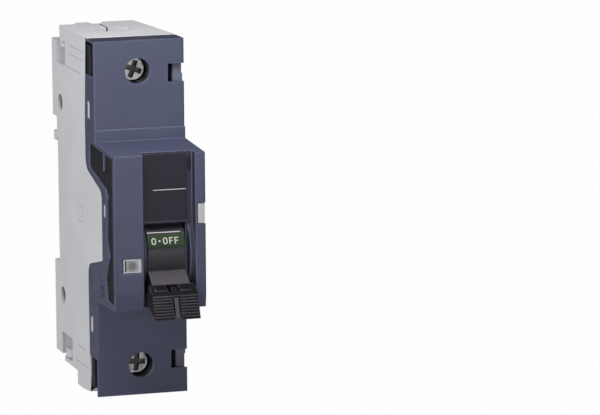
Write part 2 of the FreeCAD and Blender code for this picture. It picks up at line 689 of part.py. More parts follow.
def build_case_half(label, side):
    """One half of the grey case: side -1 is the left one, 1 the right one."""
    body = new_body(label)
    whole, hollow = {
        -1: (("-half_width", "-parting"), ("-half_width + side_wall", "-parting")),
        1: (("-parting", "half_width"), ("-parting", "half_width - side_wall")),
    }[side]
    shell = pad(body, "shell", "YZ", case_outline(), *whole)
    shell = rounded(body, "shoulder_rounds", shell, "shoulder_round",
                    across_at([("-seam_mid", "shoulder"), ("-seam_foot", "-haunch")]))
    rounded(body, "bulge_rounds", shell, "bulge_round", across_at([("-bulge", "bulge_top")]))
    pocket(body, "hollow", "YZ", cavity_outline(), *hollow)
    shape_grips(body, side)
    cut_rivet_ways(body, side)
    cut_entry(body, "top", side, "case_top - end_wall - 1", "case_top + 1")
    cut_entry(body, "foot", side, "-case_low - 1", "-step_low + end_wall + 1")
    shape_top(body, side)
    add_side_marks(body, side)
    add_snap_tabs(body, side)
    cut_clip_channel(body, side)
    return subpart(body, label)


def build_rivets():
    """Rivets that hold the two halves together, heads in their counterbores."""
    pieces = []
    face = "half_width - sink_depth"
    for place, spot in (("upper", "rivet_z"), ("lower", "-rivet_z")):
        axis = ("-rivet_y", spot)
        shank = rod(place + "_shank", "x", axis, "rivet_rod", minus(face), face)
        left = rod(place + "_left_head", "x", axis, "rivet_head", minus(face + " + 0.7"), minus(face))
        right = rod(place + "_right_head", "x", axis, "rivet_head", face, face + " + 0.7")
        eye = rod(place + "_eye", "x", axis, "rivet_rod - 0.5", minus(face + " + 1"), face + " + 1")
        pieces.append(cut(place + "_rivet", fused(place + "_rivet_solid", shank, left, right), eye))
    subpart(fused("housing_rivets", *pieces), "housing_rivets")


# Front cover

def cover_outline():
    front = [
        ("-seam_high - seam", "cover_top"),
        ("-wing", "cover_top"),
        ("-wing", "crease"),
        ("-strip", "crease"),
        ("-strip", "nose_root"),
        ("-nose", "nose_top"),
        ("-nose", "-nose_low + chin_high"),
        ("-nose + chin_deep", "-nose_low"),
        ("-strip", "-nose_heel"),
        ("-wing", "-nose_heel"),
        ("-wing", "-cover_low"),
        ("-seam_end - seam", "-cover_low"),
    ]
    return front + seam_line("seam", "seam")[::-1]


def cover_hollow():
    return [
        ("-seam_mid + 4", "cover_top - cover_wall"),
        ("-wing + cover_wall", "cover_top - cover_wall"),
        ("-wing + cover_wall", "nose_root - cover_wall"),
        ("-nose + cover_wall", "nose_top - cover_wall"),
        ("-nose + cover_wall", "-nose_low + chin_high"),
        ("-nose + chin_deep + cover_wall", "-nose_low + cover_wall"),
        ("-wing + cover_wall", "-nose_heel + cover_wall"),
        ("-wing + cover_wall", "-cover_low + cover_wall"),
        ("-seam_mid + 4", "-cover_low + cover_wall"),
    ]


# Opening in the cover's side that shows the dark side panel
PANEL_WINDOW = [
    ("-seam_mid - 4.4", "14.6"),
    ("-bulge - 4.0", "10.9"),
    ("-bulge - 6.1", "8.7"),
    ("-bulge - 5.2", "-3.3"),
    ("-bulge - 7.6", "-8.5"),
    ("-bulge - 3.6", "-15.8"),
    ("-bulge - 4.8", "-21.0"),
    ("-nose + 1.6", "-21.4"),
    ("-nose + 2.0", "20.4"),
    ("-bulge - 3.0", "20.7"),
    ("-bulge - 3.0", "15.7"),
    ("-bulge - 2.1", "15.7"),
    ("-bulge - 2.1", "20.8"),
    ("-seam_mid - 4.4", "21.6"),
]


def cut_channel(body):
    """The toggle's channel, with the drum's window in its floor and a slot through the nose's heel."""
    walls = ("-channel_left - channel_wall", "channel_right + channel_wall")
    low, window = "-nose_heel - 1", ("-gate_left", "gate_right")
    add_block(body, "channel_block", walls, ("-nose + 0.6", "-channel_floor + channel_wall"),
              ("-nose_low + 1", "nose_top - 0.4"))
    cut_block(body, "channel", ("-channel_left", "channel_right"), ("-nose - 1", "-channel_floor"),
              (low, "nose_root + 1"))
    cut_block(body, "drum_window", window, ("-channel_floor - 1", "-channel_floor + channel_wall + 1"),
              (low, "gate_top"))
    cut_block(body, "heel_slot", window, ("-nose - 1", "-pivot_y - 3"), (low, "-nose_low + cover_wall + 0.6"))


def cut_cover_side(body, name, side):
    """Slots beside the screws, the panel's opening and the snap windows in one side."""
    ends = mirrored(("half_width - cover_wall - 0.5", "half_width + 1"), side)
    along = ("-wing + slot_rim", "-seam_mid + 4")
    cut_block(body, name + "_upper_slot", ends, along, ("slot_high", "cover_top - slot_rim"))
    cut_block(body, name + "_lower_slot", ends, along, ("-cover_low - 1", "-slot_low"))
    pocket(body, name + "_panel_window", "YZ", PANEL_WINDOW, *ends)
    for snap, deep, up in SNAPS:
        cut_block(body, "%s_window_%s" % (name, snap), ends, deep, up)


def cut_edge_notch(body, name, spot):
    """A notch in the right edge of a wing, with a sill behind it."""
    low, high = "%s - notch_half" % spot, "%s + notch_half" % spot
    sill = "-wing + cover_wall + notch_deep"
    cut_block(body, name + "_notch", ("half_width - notch_wide", "half_width + 1"), ("-wing - 1", sill),
              (low, high))
    add_block(body, name + "_sill", ("half_width - sill_wide", "half_width - 0.3"), (sill, sill + " + 3"),
              (low + " - 1", high + " + 1"))


def cut_button_way(body):
    """The test button's hole and the wider room behind it for its flange."""
    wide = ("button_x - button_half_x - button_gap", "button_x + button_half_x + button_gap")
    hole = "button_half_z + button_gap"
    room = hole + " + button_flange"
    cut_block(body, "button_hole", wide, ("-nose - 1", "-nose + cover_wall + 1"),
              ("button_z - (%s)" % hole, "button_z + " + hole))
    cut_block(body, "button_room", wide, ("-nose + cover_wall", "-nose + button_long + button_travel + 1"),
              ("button_z - (%s)" % room, "button_z + " + room))


def build_cover():
    body = new_body("front_cover")
    shell = pad(body, "shell", "YZ", cover_outline(), "-half_width", "half_width")
    shell = rounded(body, "shoulder_rounds", shell, "shoulder_round",
                    across_at([("-seam_mid - seam", "shoulder + seam"),
                               ("-seam_foot - seam", "-haunch - seam")]))
    shell = rounded(body, "bulge_rounds", shell, "bulge_round",
                    across_at([("-bulge - seam", "bulge_top + seam")]))
    nose, wing, side = number_of("-nose"), number_of("-wing"), number_of("half_width")
    brow = number_of("nose_top")
    shell = rounded(body, "front_edges", shell, "edge_round", lambda middle, way: (
        abs(way.z) > 0.99 and near(abs(middle.x), side) and (near(middle.y, nose) or near(middle.y, wing))
    ) or (abs(way.x) > 0.99 and near(middle.y, nose) and near(middle.z, brow)))
    pocket(body, "hollow", "YZ", cover_hollow(), "-half_width + cover_wall", "half_width - cover_wall")
    cut_channel(body)
    for place, spot in (("line", "line_z"), ("load", "-load_z")):
        cut_rod(body, place + "_access", "y", ("terminal_x", spot), "access", "-wing - 1",
                "-wing + cover_wall + 1")
    for name, turn in (("left", -1), ("right", 1)):
        cut_cover_side(body, name, turn)
    for name, spot in (("upper", "notch_line"), ("lower", "-notch_load")):
        cut_edge_notch(body, name, spot)
    cut_button_way(body)
    cut_block(body, "clip_seat", ("half_width - seat_left", "half_width + 1"),
              ("-nose - 1", "-nose + seat_deep"),
              ("seat_low", "seat_high"))
    return subpart(body, "front_cover")


def build_cheek():
    """Round cheeks in the toggle channel, one each side of the drum."""
    axis = ("-pivot_y", "-pivot_z")
    right = rod("right_cheek_disc", "x", axis, "cheek", "channel_right - cheek_thick", "channel_right")
    left = rod("left_cheek_disc", "x", axis, "left_cheek", "-channel_left", "-gate_left")
    foot = "-nose_low - 10"
    behind = block("cheek_behind", ("-half_width", "half_width"), ("-channel_floor", "0"), (foot, "nose_top"))
    below = block("cheek_below", ("-half_width", "0"), ("-nose", "0"), (foot, "-nose_low + cover_wall"))
    subpart(cut("toggle_cheek", fused("cheek_discs", right, left), behind, below), "toggle_cheek")


def build_label_plate():
    body = new_body("label_plate")
    face = "-channel_floor - label_thick"
    plate = pad(body, "plate", "XZ", [
        ("-label_left", "label_low"),
        ("label_right", "label_low"),
        ("label_right", "label_top"),
        ("-label_left", "label_top"),
    ], face, "-channel_floor")
    right, top = number_of("label_right"), number_of("label_top")
    rounded(body, "corner", plate, "label_round",
            lambda middle, way: abs(way.y) > 0.99 and near(middle.x, right) and near(middle.z, top))
    add_block(body, "lower_rim", ("-label_left", "label_right"), (face + " - 0.3", face),
              ("label_low", "label_low + 0.5"))
    subpart(body, "label_plate")


def build_side_panel(label, side):
    """Dark panel that fills the opening in the cover's side, held from behind by a flange."""
    body = new_body(label)
    back = "half_width - cover_wall"
    pad(body, "panel", "YZ", PANEL_WINDOW, *mirrored((back, "half_width - inlay"), side))
    add_block(body, "flange", mirrored((back + " - 1", back), side),
              ("-channel_floor + channel_wall + inlay_gap", "-bulge - 4.5"),
              ("-nose_low + cover_wall + 0.3", "nose_top - cover_wall - 0.3"))
    if side > 0:
        cut_block(body, "clip_notch", ("half_width - seat_left", "half_width"),
                  ("-nose", "-nose + seat_deep + 0.15"),
                  ("seat_low", "seat_high"))
    subpart(body, label)


def build_coupling_clip():
    """Pale clip on the nose's right edge for a side-mounted accessory."""
    clip = block("coupling_clip", ("half_width - seat_left + 0.15", "half_width - 0.25"),
                 ("-nose + 0.1", "-nose + seat_deep"), ("seat_low + 0.15", "seat_high - 0.15"))
    subpart(clip, "coupling_clip")


# Test button

def build_test_button():
    stem = ("button_x - button_half_x", "button_x + button_half_x")
    low, high = "button_z - button_half_z", "button_z + button_half_z"
    front, shelf = "-nose + 0.1", "-nose + cover_wall + 0.3"
    body = new_body("test_button")
    add_block(body, "stem", stem, (front, front + " + button_long"), (low, high))
    add_block(body, "flange", stem, (shelf, shelf + " + button_flange"),
              (low + " - button_flange", high + " + button_flange"))
    subpart(body, "test_button")
    stop = "-pivot_y - toggle_pin - 1.1"
    spring_of("test_button_spring", "y", ("button_x", "button_z"), front + " + button_long", stop)
    subpart(block("test_button_stop", ("button_x - button_half_x - 0.6", "-frame_left - frame_thick"),
                  (stop, stop + " + 1"), (low + " - 1", high + " + 1")), "test_button_stop")


# Springs and coils

# Springs: radius to the wire's middle, radius of the wire, turns
SPRINGS = {
    "test_button_spring": (1.4, 0.25, 4),
    "plunger_spring": (2.0, 0.3, 3),
    "rail_clip_spring": (1.3, 0.25, 7),
}


def helix_solid(radius, wire, length, turns):
    """A round wire wound about Z from the origin upward."""
    path = Part.Wire(Part.makeHelix(length / turns, length, radius))
    section = Part.Wire([Part.makeCircle(wire, FreeCAD.Vector(radius, 0, 0), FreeCAD.Vector(0, 1, 0))])
    return path.makePipeShell([section], True, True)


def spring_of(label, axis, centre, low, high):
    """A compression spring that fills the space between two faces."""
    radius, wire, turns = SPRINGS[label]
    start, end = number_of(low) + wire, number_of(high) - wire
    item = doc.addObject("Part::Feature", label)
    item.Shape = helix_solid(radius, wire, end - start, turns)
    spots = dict(zip([a for a in "xyz" if a != axis], (number_of(spot) for spot in centre)))
    spots[axis] = start
    item.Placement = FreeCAD.Placement(FreeCAD.Vector(spots["x"], spots["y"], spots["z"]), TURNS[axis])
    return subpart(item, label)


# Toggle

def ring(body, name, outer, inner, left, right, sweep, rise, remove=False):
    """A ring section swept about X; rise turns its middle up from the arm's direction."""
    corners = [(left, minus(outer)), (right, minus(outer)), (right, minus(inner)), (left, minus(inner))]
    sketch = sketch_on(body, "XY", name + "_outline", corners)
    sketch.AttachmentOffset = FreeCAD.Placement(ORIGIN, FreeCAD.Rotation(RIGHT, -1))
    bind(sketch, {"AttachmentOffset.Rotation.Angle": rise})
    kind = "PartDesign::Groove" if remove else "PartDesign::Revolution"
    feature = body.newObject(kind, name)
    feature.Profile = sketch
    feature.ReferenceAxis = (sketch, ["H_Axis"])
    feature.Midplane = True
    bind(feature, {"Angle": sweep})
    return feature


BANDS = [("off_band", "off_angle"), ("on_band", "-on_angle")]


def add_paddle(body):
    """The paddle, with grooves across its front face."""
    pad(body, "paddle", "YZ", [
        ("-paddle_root", "arm_top - 0.6"),
        ("-paddle_root - 0.6", "arm_top + 0.05"),
        ("-paddle_brow", "arm_top + 0.2"),
        ("-paddle_tip", "-tip_drop"),
        ("-paddle_tip + 6.8", "-tip_drop - 1.25"),
        ("-paddle_root", "-tip_drop - 4.3"),
    ], "-paddle_left", "paddle_right")
    for index in range(int(number_of("rib_count"))):
        share = "((%d + 0.5) / rib_count)" % index
        y = "-paddle_brow - (paddle_tip - paddle_brow) * %s" % share
        z = "arm_top + 0.2 - (arm_top + 0.2 + tip_drop) * %s" % share
        cut_block(body, "groove_%d" % index, ("-paddle_left - 1", "paddle_right + 1"),
                  (y + " - 1", y + " + rib_deep"), (z + " - rib_gap / 2", z + " + rib_gap / 2"))


def add_ramps(body):
    """Two ramps on top of the paddle and the recess between them."""
    foot = "arm_top - 0.5"
    ramps = (("left_ramp", "-drum_left + 0.2", "tab_x - pad_left"),
             ("right_ramp", "tab_x + pad_right", "drum_right - pad_inset"))
    for name, left, right in ramps:
        pad(body, name, "YZ", [
            ("-pad_root", "arm_top"), ("-pad_end", "arm_top + pad_high"),
            ("-pad_end", foot), ("-pad_root", foot),
        ], left, right)
    cut_block(body, "ramp_recess", ("tab_x - pad_left", "tab_x + pad_right"), ("-pad_end - 0.3", "-pad_root"),
              ("arm_top - pad_floor", "arm_top + 2"))


def build_toggle():
    """Drum, arm and ribbed paddle; its own axis is X and its arm points to -Y before it is turned."""
    body = new_body("toggle")
    ring(body, "drum", "drum", "drum - drum_wall", "-drum_left", "drum_right", "drum_sweep", "0")
    add_rod(body, "hub", "x", ("0", "0"), "hub", "-drum_left", "drum_right")
    add_block(body, "web", ("-drum_left", "drum_right"), ("-drum + 0.5", "0"), ("-web / 2", "web / 2"))
    pad(body, "arm", "YZ", [
        ("-drum + 1.5", "arm_top"),
        ("-paddle_root - 2", "arm_top"),
        ("-paddle_root - 2", "-arm_top"),
        ("-drum + 1.2", "-arm_top - 4"),
    ], "-drum_left", "drum_right")
    add_paddle(body)
    for name, middle in BANDS:
        ring(body, name + "_groove", "drum + 1", "drum - band_deep", "-drum_left + 0.05", "drum_right - 0.05",
             "off_sweep", minus(middle), remove=True)
    add_ramps(body)
    slot = ("tab_x - tab_thick / 2 - tab_gap", "tab_x + tab_thick / 2 + tab_gap")
    low = "-tip_drop - 0.2 - tab_gap"
    cut_block(body, "tab_slot", slot, ("-paddle_tip - 1", "-drum - 0.2"), (low, "arm_top - tab_roof"))
    cut_block(body, "tab_mouth", slot, ("-paddle_tip - 1", "-pad_root"), (low, "arm_top - tab_gap"))
    cut_rod(body, "pin_hole", "x", ("0", "0"), "toggle_pin + run_gap", "-half_width", "half_width")
    turn = "(crank_angle - rest_tilt)"
    cut_rod(body, "link_hole", "x", ("crank * cos%s" % turn, "crank * sin%s" % turn), "link_pin + run_gap",
            "-drum_left - 1", "-drum_left + 2.2")
    subpart(turned(body, "-pivot_y", "-pivot_z", "rest_tilt"), "toggle")
    for name, middle in BANDS:
        band = new_body(name)
        ring(band, "band", "drum + band_proud", "drum - band_deep", "-drum_left + 0.05", "drum_right - 0.05",
             "off_sweep", minus(middle))
        subpart(turned(band, "-pivot_y", "-pivot_z", "rest_tilt"), name)


def build_padlock_tab():
    """Flat tab with an eye for a padlock; it slides out of the ribbed face."""
    half = "tab_thick / 2"
    body = new_body("padlock_tab")
    pad(body, "blade", "YZ", [
        ("-drum - 0.5", "arm_top - tab_roof - tab_gap"),
        ("-pad_root", "arm_top - tab_roof - tab_gap"),
        ("-pad_root - 0.5", "arm_top - 2 * tab_gap"),
        ("-paddle_brow - 1.1", "arm_top - 2 * tab_gap"),
        ("-paddle_tip + 0.3", "-tip_drop + 0.1"),
        ("-drum - 0.5", "-tip_drop + 0.1"),
    ], "tab_x - " + half, "tab_x + " + half)
    cut_rod(body, "eye", "x", ("-paddle_brow + 0.6", "0"), "1.5", "0", "half_width")
    subpart(turned(body, "-pivot_y", "-pivot_z", "rest_tilt"), "padlock_tab")


def build_link():
    """Wire link from the toggle's hub to the contact arm, drawn about its bent pin and then sloped."""
    right = "-drum_left - link_gap"
    left = "%s - link_thick" % right
    eye = "arm_stud + link_slack"
    body = new_body("drive_link")
    add_block(body, "bar", (left, right), ("0", "link_long"), ("-link_half", "link_half"))
    add_rod(body, "near_end", "x", ("0", "0"), "link_half + 0.1", left, right)
    add_rod(body, "far_end", "x", ("link_long", "0"), eye + " + 0.8", left, right)
    cut_rod(body, "far_eye", "x", ("link_long", "0"), eye, left + " - 1", right + " + 1")
    add_rod(body, "bent_pin", "x", ("0", "0"), "link_pin", right + " - 0.1", "-drum_left + 2")
    subpart(turned(body, "-pivot_y + crank * cos(crank_angle)", "-pivot_z + crank * sin(crank_angle)",
                   "-atan(link_drop / link_run)"), "drive_link")


def build_frame():
    """Two steel plates with the pins of the toggle, contact arm and trip lever."""
    pins = [
        ("toggle_pin", "toggle_pin", "-pivot_y", "-pivot_z"),
        ("contact_arm_pin", "arm_pin", "-arm_y", "arm_z"),
        ("trip_lever_pin", "trip_pin", "-trip_y", "-trip_z"),
    ]
    plates = (("frame_plate_left", "-frame_left - frame_thick", "-frame_left"),
              ("frame_plate_right", "frame_right", "frame_right + frame_thick"))
    for label, low, high in plates:
        body = new_body(label)
        pad(body, "plate", "YZ", [
            ("-pivot_y - 4", "-pivot_z + 4"),
            ("-pivot_y - 4", "-pivot_z - 5"),
            ("-trip_y - 5.5", "-trip_z + 1.4"),
            ("-trip_y - 2.6", "-trip_z + 0.6"),
            ("-trip_y - 2.6", "-trip_z - 2.6"),
            ("-trip_y + 2.8", "-trip_z - 2.6"),
            ("-arm_y + 4", "arm_z - 4"),
            ("-arm_y + 4", "arm_z + 4"),
            ("-pivot_y + 4", "arm_z + 4"),
        ], low, high)
        for name, radius, y, z in pins:
            cut_rod(body, name + "_hole", "x", (y, z), radius, "-half_width", "half_width")
        subpart(body, label)
    for name, radius, y, z in pins:
        pin = rod(name, "x", (y, z), radius, "-frame_left - frame_thick - 0.8",
                  "frame_right + frame_thick + 0.8")
        subpart(pin, name)


# Contacts

# Face of the closed moving contact, from the arm's own axis
TIP_Y = "arm_long * cos(arm_lean) + 2.6"
TIP_Z = "-arm_long * sin(arm_lean) + 2.2"
TIP_FRONT = TIP_Y + " - tip_thick"
TIP_SPAN = (TIP_Z + " - tip_half", TIP_Z + " + tip_half")


def build_contact_arm():
    """Moving contact, drawn closed about its own axis and then swung open."""
    half = ("-arm_half", "arm_half")
    lever = block("contact_lever", half, ("0", "arm_long"), ("-arm_width / 2", "arm_width / 2"))
    lever.Placement = FreeCAD.Placement(ORIGIN, FreeCAD.Rotation(RIGHT, -1))
    bind(lever, {
        "Placement.Base.x": "-arm_half",
        "Placement.Base.y": "-arm_width / 2 * sin(arm_lean)",
        "Placement.Base.z": "-arm_width / 2 * cos(arm_lean)",
        "Placement.Rotation.Angle": "-arm_lean",
    })
    hub = rod("contact_hub", "x", ("0", "0"), "arm_hub", "-arm_half - 0.6", "arm_half + 0.6")
    eye = rod("contact_eye", "x", ("0", "0"), "arm_pin + run_gap", "-half_width", "half_width")
    pad_seat = block("contact_pad_seat", half, (TIP_FRONT + " - 2.6", TIP_FRONT), TIP_SPAN)
    stud = rod("contact_stud", "x", ("link_reach * cos(arm_lean)", "-link_reach * sin(arm_lean)"), "arm_stud",
               "-drum_left - link_gap - link_thick", "0")
    arm = cut("moving_contact_arm", fused("contact_arm_solid", lever, hub, pad_seat, stud), eye)
    subpart(turned(arm, "-arm_y", "arm_z", "-arm_swing"), "moving_contact_arm")
    tip = new_body("moving_contact_tip")
    add_block(tip, "face", ("-tip_half", "tip_half"), (TIP_FRONT, TIP_Y), TIP_SPAN)
    subpart(turned(tip, "-arm_y", "arm_z", "-arm_swing"), "moving_contact_tip")


def build_fixed_contact():
    """Copper carrier under the coil's yoke with the fixed contact tip on it."""
    face = "-arm_y + %s + contact_gap" % TIP_Y
    back = face + " + tip_thick"
    low, high = ("arm_z + (%s)" % place for place in TIP_SPAN)
    wide, roof = ("-carrier_half", "carrier_half"), "coil_low - yoke - 0.2"
    body = new_body("fixed_contact_carrier")
    add_block(body, "drop", wide, (back, back + " + carrier_thick"), (low + " - 0.6", roof + " - 0.6"))
    add_block(body, "shelf", wide, (back, "-coil_y + yoke_half + 2.2"), (roof + " - carrier_thick", roof))
    subpart(body, "fixed_contact_carrier")
    subpart(block("fixed_contact_tip", ("-tip_half", "tip_half"), (face, back), (low, high)),
            "fixed_contact_tip")


def build_winding():
    """The coil's bare wire; it touches its former's outside with a hair of play."""
    wire, length = number_of("coil_wire"), number_of("coil_high - coil_low")
    rim = 1.2 * wire
    item = doc.addObject("Part::Feature", "coil_winding")
    item.Shape = helix_solid(number_of("coil_tube") + wire + 0.02, wire, length - 2 * rim,
                             number_of("coil_turns"))
    place = FreeCAD.Vector(0, number_of("-coil_y"), number_of("coil_low") + rim)
    item.Placement = FreeCAD.Placement(place, FreeCAD.Rotation())
    subpart(item, "coil_winding")


def build_coil():
    """Former, winding, yoke, plunger, fixed core and plunger spring, on one upright axis."""
    axis, bore_size = ("0", "-coil_y"), "plunger + run_gap + 0.3"
    former = rod("former_tube", "z", axis, "coil_tube", "coil_low", "coil_high")
    bore = rod("former_bore", "z", axis, bore_size, "coil_low - 1", "coil_high + 1")
    subpart(cut("coil_former", former, bore), "coil_former")
    build_winding()
    wide, back = ("-yoke_half", "yoke_half"), "-coil_y + coil_tube + 2 * coil_wire + 0.3 + yoke"
    deep = ("-coil_y - yoke_half", back)
    body = new_body("coil_yoke")
    add_block(body, "lower_leg", wide, deep, ("coil_low - yoke", "coil_low"))
    add_block(body, "upper_leg", wide, deep, ("coil_high", "coil_high + yoke"))
    add_block(body, "back", wide, (back + " - yoke", back), ("coil_low - yoke", "coil_high + yoke"))
    cut_rod(body, "striker_hole", "z", axis, bore_size, "coil_low - yoke - 1", "coil_low + 1")
    subpart(body, "coil_yoke")
    foot = "coil_low + 5"
    slug = rod("plunger_slug", "z", axis, "plunger", foot, "coil_high - 2")
    pin = rod("plunger_striker", "z", axis, "striker", "coil_low - yoke - 1", foot)
    subpart(fused("plunger", slug, pin), "plunger")
    core = "coil_low + 1.4"
    ring_solid = rod("core_ring_solid", "z", axis, "plunger + 0.3", "coil_low", core)
    eye = rod("core_ring_eye", "z", axis, "striker + run_gap", "coil_low - 1", "coil_low + 2")
    subpart(cut("fixed_core", ring_solid, eye), "fixed_core")
    spring_of("plunger_spring", "z", axis, core, foot)


def build_arc_chute():
    """Stack of notched steel plates between two insulating cheeks, with a runner under it."""
    plates = []
    wide, slit = ("-chute_half", "chute_half"), ("-chute_half / 3", "chute_half / 3")
    deep = ("-chute_front", "-chute_back")
    for index in range(int(number_of("chute_count"))):
        name = "arc_plate_%d" % index
        top = "-chute_high - chute_pitch * %d" % index
        low = top + " - chute_plate"
        plate = block(name + "_blank", wide, deep, (low, top))
        notch = block(name + "_notch", slit, ("-chute_front - 1", "-chute_front + chute_notch"),
                      (low + " - 1", top + " + 1"))
        plates.append(cut(name, plate, notch))
    subpart(fused("arc_chute_plates", *plates), "arc_chute_plates")
    low = "-chute_high - chute_pitch * chute_count"
    for label, side in (("arc_chute_cheek_left", -1), ("arc_chute_cheek_right", 1)):
        ends = mirrored(("chute_half", "chute_half + chute_cheek"), side)
        subpart(block(label, ends, deep, (low, "-chute_high + 0.5")), label)
    runner = block("arc_runner", ("-runner_half", "runner_half"),
                   ("-chute_front - runner_front", "-chute_back"),
                   (low + " - runner_thick", low))
    subpart(runner, "arc_runner")


# Trip unit

def build_trip_unit():
    """Lever that the bimetal or the plunger pushes, and the bimetal with its setting screw."""
    axis = ("-trip_y", "-trip_z")
    lever = block("trip_bar", ("trip_x - trip_half", "trip_x + trip_half"),
                  ("-trip_y - trip_deep", "-trip_y + trip_deep"),
                  ("-trip_z - trip_long", "-trip_z + trip_long"))
    hub = rod("trip_boss_rod", "x", axis, "trip_boss", "trip_x - trip_hub", "trip_x + trip_hub")
    eye = rod("trip_eye", "x", axis, "trip_pin + run_gap", "0", "half_width")
    subpart(cut("trip_lever", fused("trip_lever_solid", lever, hub), eye), "trip_lever")
    front, foot = "-trip_y + bimetal_back", "-load_z + cage_deep + leg_thick"
    strip = block("bimetal", ("trip_x - bimetal_half", "trip_x + bimetal_half"),
                  (front, front + " + bimetal_thick"), (foot, "-trip_z + 3"))
    subpart(strip, "bimetal")
    screw = rod("calibration_screw", "y", ("trip_x", "-load_z + cage_deep + 4"), "trip_pin", "-trip_y + 0.6",
                front)
    subpart(screw, "calibration_screw")


# How the braid leaves the contact arm and how it arrives at the bimetal
BRAID_ROOT = 4.0
BRAID_LEAVES = FreeCAD.Vector(1.4, 1.2, -4)
BRAID_ARRIVES = FreeCAD.Vector(-0.6, 1.0, 5)
BRAID_END = FreeCAD.Vector(0, 0, -3)


def build_braid():
    """Flexible conductor from the contact arm to the bimetal."""
    lean = "(arm_lean + arm_swing)"
    start = ("arm_half + braid", "-arm_y + %s * cos%s" % (BRAID_ROOT, lean),
             "arm_z - %s * sin%s" % (BRAID_ROOT, lean))
    end = ("trip_x", "-trip_y + bimetal_back + bimetal_thick + braid + braid_gap", "-trip_z + 1")
    first = FreeCAD.Vector(*[number_of(text) for text in start])
    last = FreeCAD.Vector(*[number_of(text) for text in end])
    curve = Part.BSplineCurve()
    curve.interpolate([first, first + BRAID_LEAVES, last + BRAID_ARRIVES, last, last + BRAID_END])
    way = curve.tangent(curve.FirstParameter)[0]
    section = Part.Wire([Part.makeCircle(number_of("braid"), first, way)])
    item = doc.addObject("Part::Feature", "flexible_braid")
    item.Shape = Part.Wire([curve.toShape()]).makePipeShell([section], True, True)
    subpart(item, "flexible_braid")


# Terminals

CAGE_X = "(terminal_x + entry_x) / 2"
TERMINALS = [("line", "line_z", 1), ("load", "-load_z", -1)]


def build_screw(name, z):
    """A terminal screw with crossed driver slots in its head."""
    axis, neck = ("terminal_x", z), "-head_front + head_high"
    head = rod(name + "_head", "y", axis, "head", "-head_front", neck)
    shank = rod(name + "_shank", "y", axis, "screw", neck, "-screw_end")
    narrow, long = ("-drive_slot / 2", "drive_slot / 2"), ("-drive_long", "drive_long")
    deep = ("-head_front - 1", "-head_front + drive_deep")
    upright = block(name + "_slot_tall", narrow, deep, long)
    level = block(name + "_slot_wide", long, deep, narrow)
    slots = fused(name + "_slots", upright, level)
    slots.Placement = FreeCAD.Placement(ORIGIN, FreeCAD.Rotation(FreeCAD.Vector(0, 1, 0), 1))
    bind(slots, {
        "Placement.Base.x": "terminal_x",
        "Placement.Base.z": z,
        "Placement.Rotation.Angle": name + "_turn",
    })
    label = name + "_terminal_screw"
    subpart(cut(label, fused(name + "_screw_solid", head, shank), slots), label)


def build_cage(name, z):
    """A clamp cage, open: a threaded block, two side walls and the jaw."""
    left, right = CAGE_X + " - cage_half", CAGE_X + " + cage_half"
    front = "-screw_end - cage_nut"
    solid = block(name + "_cage_solid", (left, right), (front, "-cage_back"),
                  (z + " - cage_tall", z + " + cage_tall"))
    room = block(name + "_cage_room", (left + " + cage_wall", right + " - cage_wall"),
                 ("-screw_end", "-cage_back - cage_jaw"), (z + " - cage_tall - 1", z + " + cage_tall + 1"))
    thread = rod(name + "_cage_thread", "y", ("terminal_x", z), "screw + screw_play", front + " - 1",
                 "-screw_end + 1")
    subpart(cut(name + "_terminal_cage", solid, room, thread), name + "_terminal_cage")


def build_busbar(name, z, side):
    """The plate in a cage and its leg to the coil's yoke or to the bimetal."""
    front = "-screw_end + plate_gap"
    deep = (front, front + " + plate_thick")
    inner = "(cage_half - cage_wall - plate_gap)"
    reach = sorted([z + " + %d * cage_out" % side, z + " - %d * (cage_deep + leg_thick)" % side],
                   key=number_of)
    plate = block(name + "_plate", ("%s - %s" % (CAGE_X, inner), "%s + %s" % (CAGE_X, inner)), deep, reach)
    if side > 0:
        leg = block("line_leg", ("-leg_half", "leg_half"), (front, "-coil_y + yoke_half"),
                    (reach[0], reach[0] + " + leg_thick"))
    else:
        rise, right = (reach[1] + " - leg_thick", reach[1]), "trip_x + bimetal_half"
        leg = block("load_leg", ("trip_x - bimetal_half", right), ("-trip_y + bimetal_back", deep[1]), rise)
        bridge = block("load_bridge", ("-leg_half", right), deep, rise)
        plate = fused("load_plate_and_bridge", plate, bridge)
    subpart(fused(name + "_busbar", plate, leg), name + "_busbar")


def build_terminals():
    """Screw, clamp cage and terminal plate at each end."""
    for name, z, side in TERMINALS:
        build_screw(name, z)
        build_cage(name, z)
        build_busbar(name, z, side)


def build_shroud(name, z, low, high, notch, slot):
    """A dark insulating guide behind a wing that leads a screwdriver to the screw."""
    left, right = "-half_width + cover_wall + shroud_gap", "half_width - sill_wide - shroud_gap"
    front, back = "-wing + cover_wall", "-head_front + head_high + 0.2"
    body = new_body(name + "_terminal_shroud")
    add_block(body, "box", (left, right), (front, back), (low, high))
    cut_block(body, "hollow", (left + " + shroud_wall", right + " - shroud_wall"), (front + " + 1", "0"),
              (low + " + shroud_wall", high + " - shroud_wall"))
    add_rod(body, "tube", "y", ("terminal_x", z), "access + shroud_tube", front + " + 0.9", back)
    cut_rod(body, "bore", "y", ("terminal_x", z), "access", "-wing", "0")
    cut_block(body, "bay", ("half_width - notch_wide - shroud_gap", "half_width"),
              ("-wing", front + " + bay_deep"),
              (notch + " - notch_half - shroud_gap", notch + " + notch_half + shroud_gap"))
    ledge = ("-seam_high - ledge_deep", "-seam_end - shroud_gap")
    add_block(body, "ledge", ("-half_width + ledge_side", left + " + 0.1"), ledge, slot)
    subpart(body, name + "_terminal_shroud")


